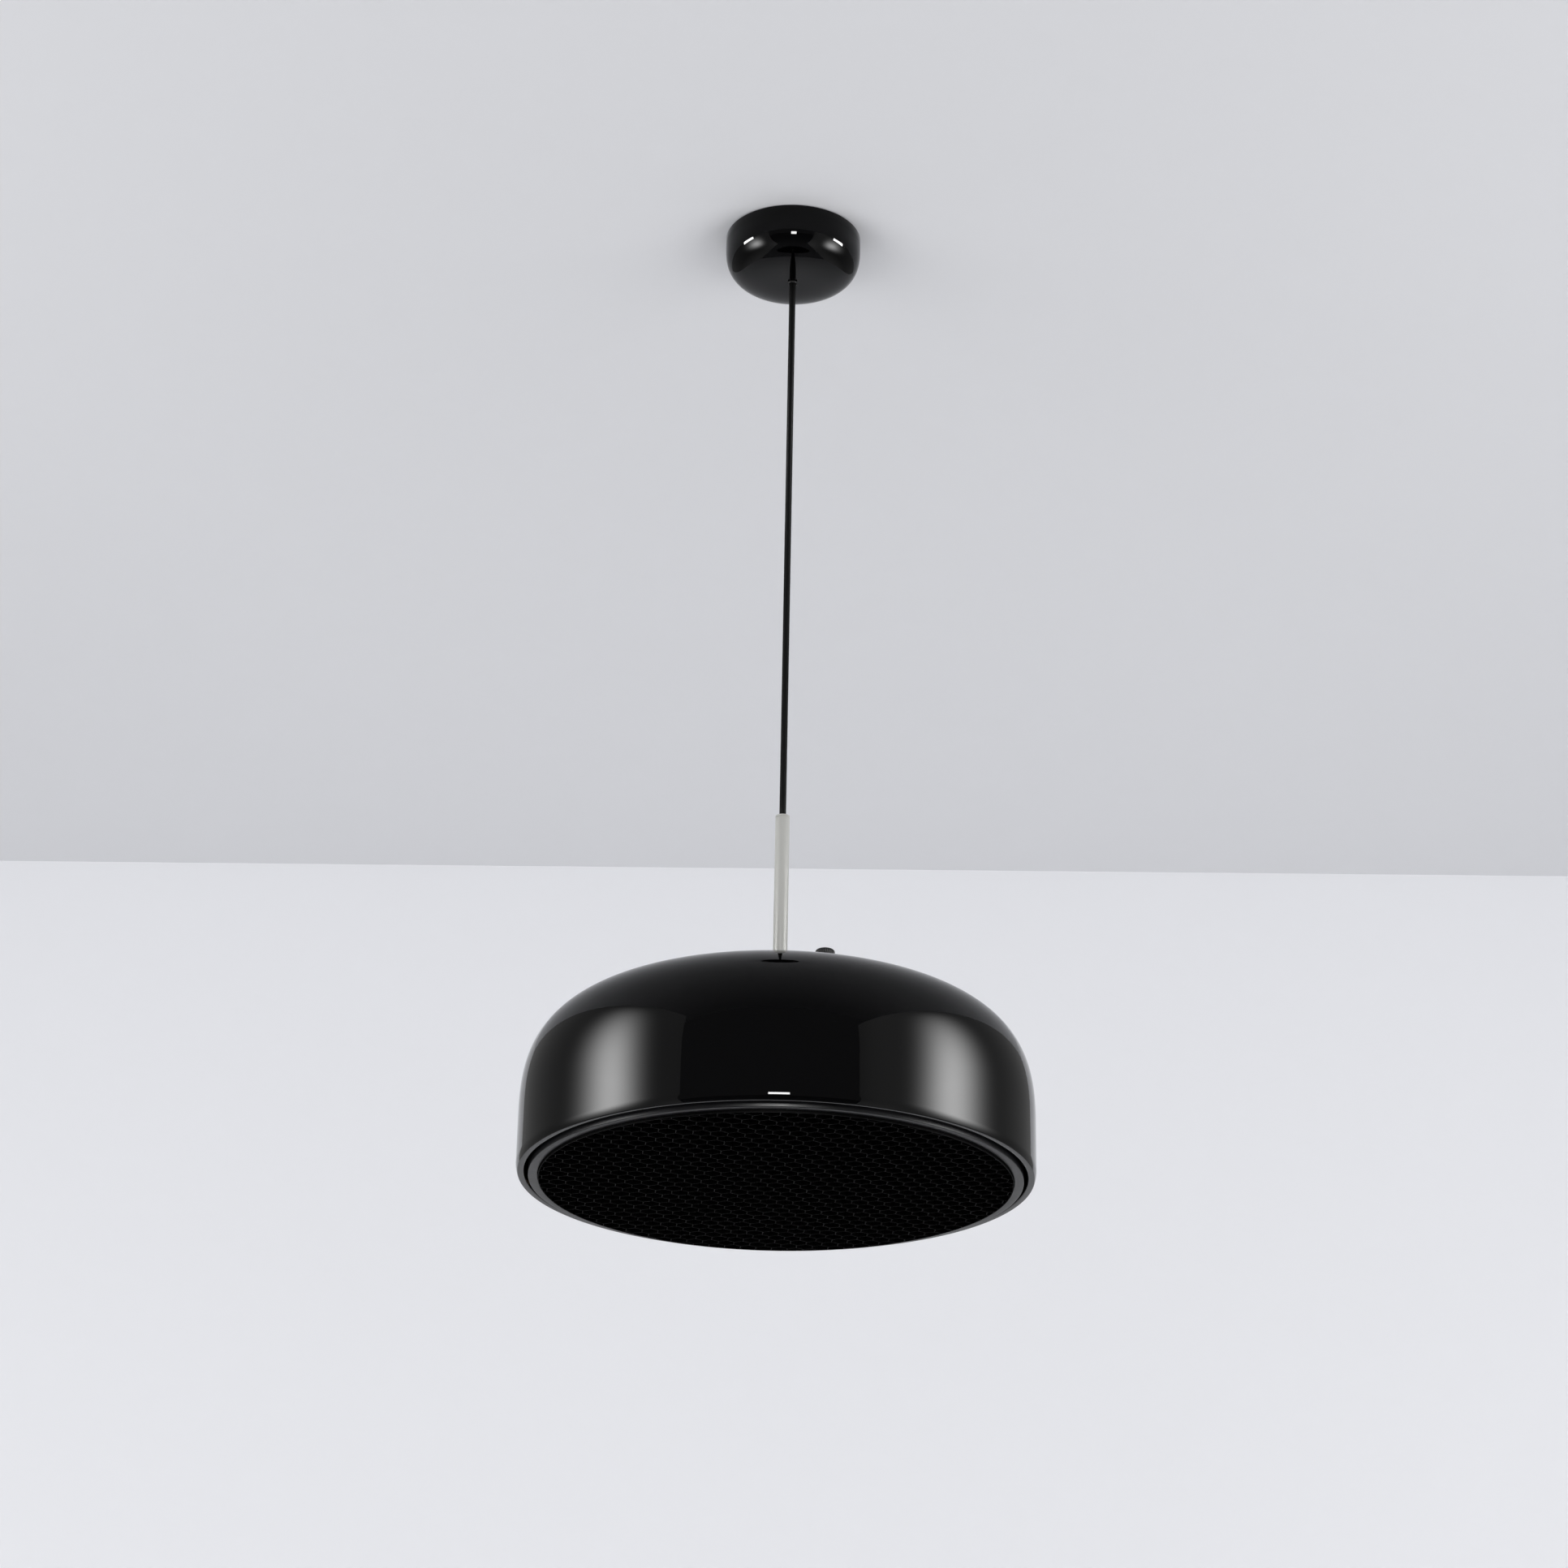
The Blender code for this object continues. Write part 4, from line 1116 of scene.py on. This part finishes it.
class PENDANT_OT_switch(bpy.types.Operator):
    """Ribbed push button, its spring, collar and threaded body"""

    bl_idname = "pendant.switch"
    bl_label = "Push switch"

    def execute(self, context):
        centre = (SWITCH.x, SWITCH.y, 0.0)
        radius = (BUTTON_HIGH.x - BUTTON_LOW.x) / 2
        top, wall = BUTTON_HIGH.z, 1.2 * MM
        skirt, crown, stem = top - 5.7 * MM, top - 2.6 * MM, 2.0 * MM
        drop, flatter, row = 3.0 * MM, 0.9, 0.25 * MM
        crest = [
            (radius * math.sin(a), top - drop * (1 - math.cos(a)) ** flatter)
            for a in arc(0.0, 90.0, 14)[:-2]
        ]
        side = [(radius, top - 3.2 * MM - i * row) for i in range(9)]
        inside = rounded([
            (radius, skirt, 0.25 * MM), (radius - wall, skirt, 0.2 * MM), (radius - wall, crown, 0.6 * MM),
            (stem, crown, 0.2 * MM), (stem, BUTTON_LOW.z, 0.3 * MM), (0.0, BUTTON_LOW.z, 0.0),
        ])
        fitted("push_button", [*crest, *side, *inside], switch_black, "switch_button", "switch_button",
               segments=288, wrap=False, sharp=60.0, Centre=centre, Rib_Count=36.0,
               Rib_Depth=0.35 * MM, Rib_Low=skirt - 0.1 * MM, Rib_High=top - 2.0 * MM,
               Rib_Radius=radius - 0.6 * MM)

        shape = context.scene.pendant_shade

        def surface(x, y):
            """Height of the dome's outside."""
            away = math.hypot(x, y)
            return RIM_Z + dome_height(away, SHADE_RADIUS, SHADE_HEIGHT, shape.wall, shape.flat,
                                       shape.roundness)

        base = surface(SWITCH.x, SWITCH.y)
        neck, wide = 4.7 * MM, (COLLAR_HIGH.x - COLLAR_LOW.x) / 2
        high = COLLAR_HIGH.z
        collar = turned("switch_ring", rounded([
            (neck, high, 0.2 * MM), (wide, high, 0.8 * MM), (wide, base + GAP, 0.15 * MM),
            (neck, base + GAP, 0.1 * MM),
        ]), switch_black(), 72, Centre=centre)
        for vertex in collar.data.vertices:
            if vertex.co.z < base + 1.0 * MM:
                vertex.co.z += surface(vertex.co.x, vertex.co.y) - base
        keep(collar, "lamp", "switch_black", "switch_collar")

        under, body_low = base - shape.sheet - 1.8 * MM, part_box("switch_body")[0].z
        neck, can, bore, mouth, bore_end = 4.4 * MM, 7.0 * MM, 2.5 * MM, base + 5.0 * MM, base - 11.0 * MM
        outside = rounded([
            (neck, under, 0.0), (can, under, 0.4 * MM), (can, body_low, 0.8 * MM), (0.0, body_low, 0.0),
        ])[1:]
        fitted("switch_barrel", [(0.0, bore_end), (bore, bore_end), (bore, mouth),
                                 *upright(neck, mouth, under, 64), *outside],
               switch_black, "lamp", "switch_body", wrap=False, Centre=centre,
               Thread_Pitch=0.75 * MM, Thread_Depth=0.22 * MM, Thread_Low=under, Thread_High=mouth,
               Thread_Radius=4.0 * MM)

        low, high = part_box("switch_spring")
        wire, rise = 0.35 * MM, high.z - low.z
        spring = linked("coil_spring", bpy.data.meshes.new("coil_spring"))
        run_tree(spring, spring_tree(), {
            "Turns": 4.0, "Radius": 3.4 * MM, "Height": rise - 2 * wire, "Wire Radius": wire,
            "Place": (SWITCH.x, SWITCH.y, low.z + wire), "Material": zinc_steel(),
        })
        outward(spring.data)
        keep(spring, "lamp", "zinc_steel", "switch_spring")
        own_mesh(spring)
        repaint(black_cable(), "switch_lead")
        return {"FINISHED"}


# ---- louvre insert ----


class PENDANT_OT_ring(bpy.types.Operator):
    """Ring that carries the louvre"""

    bl_idname = "pendant.ring"
    bl_label = "Ring"

    def execute(self, context):
        outer, inner, wall = RING_HIGH.x, 183.0 * MM, RING_HIGH.x - RING_SHEET
        flange, low, high = RING_LOW.z + RING_FLANGE, RING_LOW.z, RING_HIGH.z
        fitted("insert_ring", rounded([
            (outer, high, 0.5 * MM), (outer, low, 0.5 * MM), (inner, low, 0.5 * MM),
            (inner, flange, 0.3 * MM), (wall, flange, 0.3 * MM), (wall, high, 0.5 * MM),
        ]), ring_black, "louvre_insert", "ring_frame", slot="gloss_black", segments=224)
        return {"FINISHED"}


def cell_mesh(pitch, wall, low, high):
    """One honeycomb cell: its inner wall, and the strips between it and its neighbours."""
    work = bmesh.new()
    rings = {}
    for key, across, z in (("inner_low", pitch - wall, low), ("outer_low", pitch, low),
                           ("inner_high", pitch - wall, high), ("outer_high", pitch, high)):
        reach = across / 2 / math.cos(math.pi / 6)
        rings[key] = [
            work.verts.new((reach * math.cos(a), reach * math.sin(a), z))
            for a in (math.radians(30.0 + 60.0 * i) for i in range(6))
        ]
    for i in range(6):
        k = (i + 1) % 6
        for first, second in (("inner_low", "inner_high"), ("outer_low", "inner_low"),
                              ("inner_high", "outer_high")):
            a, b = rings[first], rings[second]
            work.faces.new((a[i], b[i], b[k], a[k]))
    return mesh_of("cell", work)


def close_edge(mesh, low, high):
    """Upright faces between a sheet's open edges above and below."""
    work = bmesh.new()
    work.from_mesh(mesh)
    bmesh.ops.remove_doubles(work, verts=work.verts, dist=MERGE)
    lower = [v for v in work.verts if abs(v.co.z - low) < MERGE]
    upper = [e for e in work.edges if e.is_boundary and e.verts[0].co.z > (low + high) / 2]
    for edge in upper:
        a, b = edge.verts
        below = [min(lower, key=lambda v, p=p: (v.co.xy - p.co.xy).length_squared) for p in (a, b)]
        work.faces.new((a, b, below[1], below[0]))
    bmesh.ops.recalc_face_normals(work, faces=work.faces)
    work.to_mesh(mesh)
    work.free()


class PENDANT_OT_louvre(bpy.types.Operator):
    """Honeycomb louvre, cut round"""

    bl_idname = "pendant.louvre"
    bl_label = "Louvre"

    def execute(self, context):
        shape = context.scene.pendant_louvre
        edge, flange = 182.7 * MM, LOUVRE_HIGH.x
        low, high = LOUVRE_LOW.z, LOUVRE_HIGH.z
        louvre = linked("honeycomb", cell_mesh(shape.pitch, shape.wall, low, high))
        run_tree(louvre, honeycomb_tree(), {
            "Pitch": shape.pitch, "Reach": edge + shape.pitch, "Rows": 35,
            "Turn": shape.turn, "Material": louvre_black(),
        })
        close_edge(louvre.data, low, high)
        drum = turned("drum", [(0.0, high + MM), (edge, high + MM), (edge, low - MM), (0.0, low - MM)],
                      louvre_black(), 160, wrap=False)
        boolean(louvre, drum, "INTERSECT")
        seat = RING_LOW.z + RING_FLANGE + GAP
        rest, inside = seat + 2.0 * MM, edge - 0.4 * MM
        band = turned("band", [(inside, high), (edge, high), (edge, rest), (flange, rest), (flange, seat),
                               (edge, seat), (edge, low), (inside, low)], louvre_black(), 160)
        boolean(louvre, band, "UNION")
        louvre.data.shade_flat()
        keep(louvre, "louvre_insert", "louvre_black", "louvre")
        return {"FINISHED"}


def bow(share):
    """How far a leaf stands out, from 1 at its middle to 0 near its ends."""
    return max(0.0, math.cos(math.pi * share / 1.3)) ** 1.6


def leaf_mesh(name, length, height, sheet, low, rest, crest, look):
    """Bowed leaf with rounded ends, its middle on the X axis."""
    work = bmesh.new()
    along, across = 48, 6
    rows = []
    for i in range(along + 1):
        share = math.sin(math.pi / 2 * (2 * i / along - 1))
        end = max(0.0, (abs(share) * length - length + height) / height)
        half = height / 2 * math.sqrt(max(0.0, 1 - end * end)) + 0.05 * MM
        base = rest + (crest - rest) * bow(share)
        turn = 0.5 * share * length / rest
        row = []
        for r, order in ((base, range(across + 1)), (base + sheet, range(across, -1, -1))):
            for j in order:
                side = 2 * j / across - 1
                ease = 0.12 * MM if abs(side) == 1.0 else 0.0
                z = low + height / 2 + side * half
                reach = r + (ease if r == base else -ease)
                row.append(work.verts.new((reach * math.cos(turn), reach * math.sin(turn), z)))
        rows.append(row)
    for first, second in zip(rows, rows[1:]):
        for k in range(len(first)):
            m = (k + 1) % len(first)
            work.faces.new((first[k], second[k], second[m], first[m]))
    work.faces.new(rows[0])
    work.faces.new(reversed(rows[-1]))
    return mesh_of(name, work, look)


class PENDANT_OT_clips(bpy.types.Operator):
    """Bowed leaf springs on the ring, with their rivets"""

    bl_idname = "pendant.clips"
    bl_label = "Clips"

    def execute(self, context):
        length, height, sheet = 36.0 * MM, 10.0 * MM, 0.5 * MM
        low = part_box("clip_a")[0].z
        outer, crest = RING_HIGH.x, 193.1 * MM
        leaf = linked("leaf_springs", leaf_mesh("leaf", length, height, sheet, low, outer + GAP,
                                                crest - sheet, bronze()))
        arrayed(leaf, bronze(), CLIPS, first=FIRST_CLIP, turn=CLIP_TURN)
        keep(leaf, "louvre_insert", "bronze", "clip_a", "clip_b", "clip_c")

        place = 0.84  # of the way from the leaf's middle to its end
        aside = place / 2 * length / outer
        face = outer + GAP + (crest - sheet - outer - GAP) * bow(place) + sheet + GAP
        back = outer - RING_SHEET - GAP
        shank, end = 1.1 * MM, back - 0.6 * MM
        head = [
            (2.0 * MM * math.sin(a), face + 0.7 * MM * math.cos(a)) for a in arc(0.0, 90.0, 8)
        ]
        tail = rounded([(shank, back, 0.0), (1.8 * MM, back, 0.15 * MM), (1.5 * MM, end, 0.3 * MM),
                        (0.0, end, 0.0)])
        rivet = turned("leaf_rivets", [*head, (shank, face), *tail], brass(), 32, wrap=False)
        lie = Matrix.Rotation(math.radians(90.0), 4, "Y")
        rivet.data.transform(Matrix.Translation((0.0, 0.0, low + height / 2)) @ lie)
        arrayed(rivet, brass(), CLIPS, first=FIRST_CLIP + aside, turn=CLIP_TURN)
        keep(rivet, "louvre_insert", "brass", "rivet_a", "rivet_b", "rivet_c")
        return {"FINISHED"}


# ---- inside ----


class PENDANT_OT_lampholder(bpy.types.Operator):
    """Lampholder and bulb"""

    bl_idname = "pendant.lampholder"
    bl_label = "Lampholder and bulb"

    def execute(self, context):
        top, hole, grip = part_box("holder_cap")[1].z, NIPPLE_HOLE, 19.5 * MM
        ribs = {"Rib_Depth": 0.4 * MM, "Rib_Radius": grip - 0.5 * MM}
        inner, edge = 17.2 * MM, top - 23.9 * MM
        fitted("holder_dome", rounded([
            (hole, top, 0.3 * MM), (15.0 * MM, top, 1.2 * MM), (18.5 * MM, top - 2.4 * MM, 1.4 * MM),
            (grip, top - 6.9 * MM, 1.0 * MM), (grip, top - 9.0 * MM, 0.0), (grip, top - 21.0 * MM, 0.0),
            (grip, edge, 0.4 * MM), (inner, edge, 0.3 * MM), (inner, top - 7.9 * MM, 0.5 * MM),
            (14.5 * MM, top - 3.5 * MM, 0.5 * MM), (hole, top - 3.0 * MM, 0.3 * MM),
        ]), holder_black, "lamp", "holder_cap", segments=240, Rib_Count=40.0,
            Rib_Low=top - 21.5 * MM, Rib_High=top - 8.5 * MM, **ribs)
        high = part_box("holder_sleeve")[1].z
        inner, outer, step, edge = 13.8 * MM, 16.9 * MM, high - 6.5 * MM, high - 28.2 * MM
        fitted("holder_barrel", rounded([
            (inner, high, 0.4 * MM), (outer, high, 0.4 * MM), (outer, step, 0.2 * MM),
            (grip, step, 0.5 * MM), (grip, high - 10.0 * MM, 0.0), (grip, high - 24.0 * MM, 0.0),
            (grip, edge, 0.9 * MM), (inner, edge, 0.9 * MM),
        ]), holder_black, "lamp", "holder_sleeve", segments=240, Rib_Count=60.0,
            Rib_Low=high - 25.0 * MM, Rib_High=high - 9.0 * MM, **ribs)
        low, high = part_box("holder_insert")
        groove = low.z + 1.2 * MM
        fitted("ceramic_disc", rounded([
            (0.0, high.z, 0.0), (high.x, high.z, 0.7 * MM), (high.x, low.z, 0.7 * MM),
            (11.0 * MM, low.z, 0.5 * MM), (10.0 * MM, groove, 0.5 * MM), (6.5 * MM, groove, 0.4 * MM),
            (5.5 * MM, low.z, 0.4 * MM), (0.0, low.z, 0.0),
        ]), ceramic_white, "lamp", "holder_insert", segments=72, wrap=False)
        low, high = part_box("holder_contact")
        fitted("contact_pad", rounded([
            (0.0, high.z, 0.0), (high.x, high.z, 0.2 * MM), (0.72 * high.x, low.z, 0.5 * MM),
            (0.0, low.z, 0.0),
        ]), brass, "lamp", "holder_contact", segments=40, wrap=False)

        low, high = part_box("bulb_cap")
        top, shell = high.z, high.x
        shoulder = [(10.4 * MM, top - 4.2 * MM), (11.2 * MM, top - 3.7 * MM), (12.6 * MM, top - 4.3 * MM)]
        fitted("bulb_thread", [*shoulder, *upright(shell, top - 5.4 * MM, low.z, 90), (0.0, low.z)],
               zinc_steel, "lamp", "bulb_cap", segments=72, wrap=False, Thread_Pitch=3.6 * MM,
               Thread_Depth=0.9 * MM, Thread_Low=low.z + 2.5 * MM, Thread_High=top - 5.0 * MM,
               Thread_Radius=0.8 * shell)
        fitted("bulb_insulator", rounded([
            (3.2 * MM, top - 1.0 * MM, 0.2 * MM), (4.6 * MM, top - 1.4 * MM, 0.4 * MM),
            (10.9 * MM, top - 3.7 * MM, 0.2 * MM), (10.2 * MM, top - 4.3 * MM, 0.1 * MM),
            (3.2 * MM, top - 3.2 * MM, 0.1 * MM),
        ]), holder_black, "lamp", segments=56)
        tip, rise, foot = 3.1 * MM, 1.9 * MM, top - 2.8 * MM
        button = [(tip * math.sin(a), top - rise * (1 - math.cos(a))) for a in arc(0.0, 90.0, 8)]
        fitted("bulb_contact", [*button, (tip, foot), (0.0, foot)], brass, "lamp", segments=40, wrap=False)

        low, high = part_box("bulb_glass")
        neck, ball, glass, mouth = 13.0 * MM, high.x, 1.2 * MM, high.z
        middle = low.z + ball
        shoulder = [(14.2 * MM, mouth - 6.0 * MM), (17.2 * MM, mouth - 13.5 * MM),
                    (21.6 * MM, mouth - 23.0 * MM)]
        globe = [(ball * math.cos(a), middle + ball * math.sin(a)) for a in arc(22.0, -90.0, 12)]
        side = smoothed([(neck, mouth), *shoulder, *globe], 4)
        centre = Vector((0.0, middle))
        inside = []
        for r, z in side[:-1]:
            away = (Vector((r, z)) - centre) if z < middle + 0.6 * ball else Vector((1.0, 0.0))
            inside.append(tuple(Vector((r, z)) - away.normalized() * glass))
        inside = [(max(r, 0.0), z) for r, z in inside] + [(0.0, low.z + glass)]
        side[-1] = (0.0, low.z)
        fitted("bulb_envelope", [*reversed(inside), *side], opal_glass, "lamp", "bulb_glass",
               segments=96, wrap=False)
        repaint(black_cable(), "cord_in_stem")
        return {"FINISHED"}


class PENDANT_OT_fixings(bpy.types.Operator):
    """Fixing plate, clamp, terminals and cores in the cup"""

    bl_idname = "pendant.fixings"
    bl_label = "Fixings"

    def execute(self, context):
        mount = "ceiling_mount"
        plate = softened("plate_disc", "ceiling_plate", zinc_steel(), 0.3 * MM)
        keep(plate, mount, "zinc_steel", "ceiling_plate")
        for name, node, x, head, height, shank in (
            ("plate_screws", "plate_screw", 34.0 * MM, 4.0 * MM, 2.4 * MM, 1.8 * MM),
            ("clamp_screws", "clamp_screw", 10.5 * MM, 2.7 * MM, 1.8 * MM, 1.35 * MM),
        ):
            low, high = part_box(node + "_a")
            pair = screw(name, x, low.z + height, head, height, shank, high.z, zinc_steel())
            arrayed(pair, zinc_steel(), 2, turn=math.pi)
            keep(pair, mount, "zinc_steel", node + "_a", node + "_b")
        clamp = softened("cord_saddle", "cord_clamp", white_plastic(), 0.5 * MM, 3)
        keep(clamp, mount, "white_plastic", "cord_clamp")
        block = softened("terminal_strip", "terminal_block", white_plastic(), 0.4 * MM, 3)
        keep(block, mount, "white_plastic", "terminal_block")
        grubs = softened("terminal_grubs", "terminal_screw_a", brass(), 0.12 * MM)
        arrayed(grubs, brass(), 3, step=(10.0 * MM, 0.0, 0.0))
        keep(grubs, mount, "brass", "terminal_screw_a", "terminal_screw_b", "terminal_screw_c")
        repaint(black_cable(), "cord_in_cup")
        repaint(insulation("core_brown", (0.20, 0.07, 0.03)), "wire_live")
        repaint(insulation("core_blue", (0.03, 0.10, 0.40)), "wire_neutral")
        repaint(insulation("core_green", (0.16, 0.40, 0.04), (0.75, 0.62, 0.04)), "wire_earth")
        return {"FINISHED"}


# ---- add-on ----


class PENDANT_PT_panel(bpy.types.Panel):
    """The pieces of the pendant light"""

    bl_label = "Pendant light"
    bl_idname = "PENDANT_PT_panel"
    bl_space_type = "VIEW_3D"
    bl_region_type = "UI"
    bl_category = "Pendant"

    def draw(self, context):
        for made in OPERATORS:
            self.layout.operator(made.bl_idname)


OPERATORS = (
    PENDANT_OT_camera, PENDANT_OT_cord, PENDANT_OT_stage, PENDANT_OT_cup, PENDANT_OT_stem,
    PENDANT_OT_shade, PENDANT_OT_switch, PENDANT_OT_ring, PENDANT_OT_louvre, PENDANT_OT_clips,
    PENDANT_OT_lampholder, PENDANT_OT_fixings,
)
SETTINGS = {
    "pendant_shade": ShadeSettings, "pendant_louvre": LouvreSettings,
    "pendant_finish": FinishSettings, "pendant_stage": StageSettings,
}


def register():
    for made in (*SETTINGS.values(), *OPERATORS, PENDANT_PT_panel):
        bpy.utils.register_class(made)
    for name, made in SETTINGS.items():
        setattr(bpy.types.Scene, name, bpy.props.PointerProperty(type=made))


def unregister():
    for name in SETTINGS:
        delattr(bpy.types.Scene, name)
    for made in reversed((*SETTINGS.values(), *OPERATORS, PENDANT_PT_panel)):
        bpy.utils.unregister_class(made)


def main():
    register()
    for made in OPERATORS:
        group, name = made.bl_idname.split(".")
        getattr(getattr(bpy.ops, group), name)()


if __name__ == "__main__":
    main()
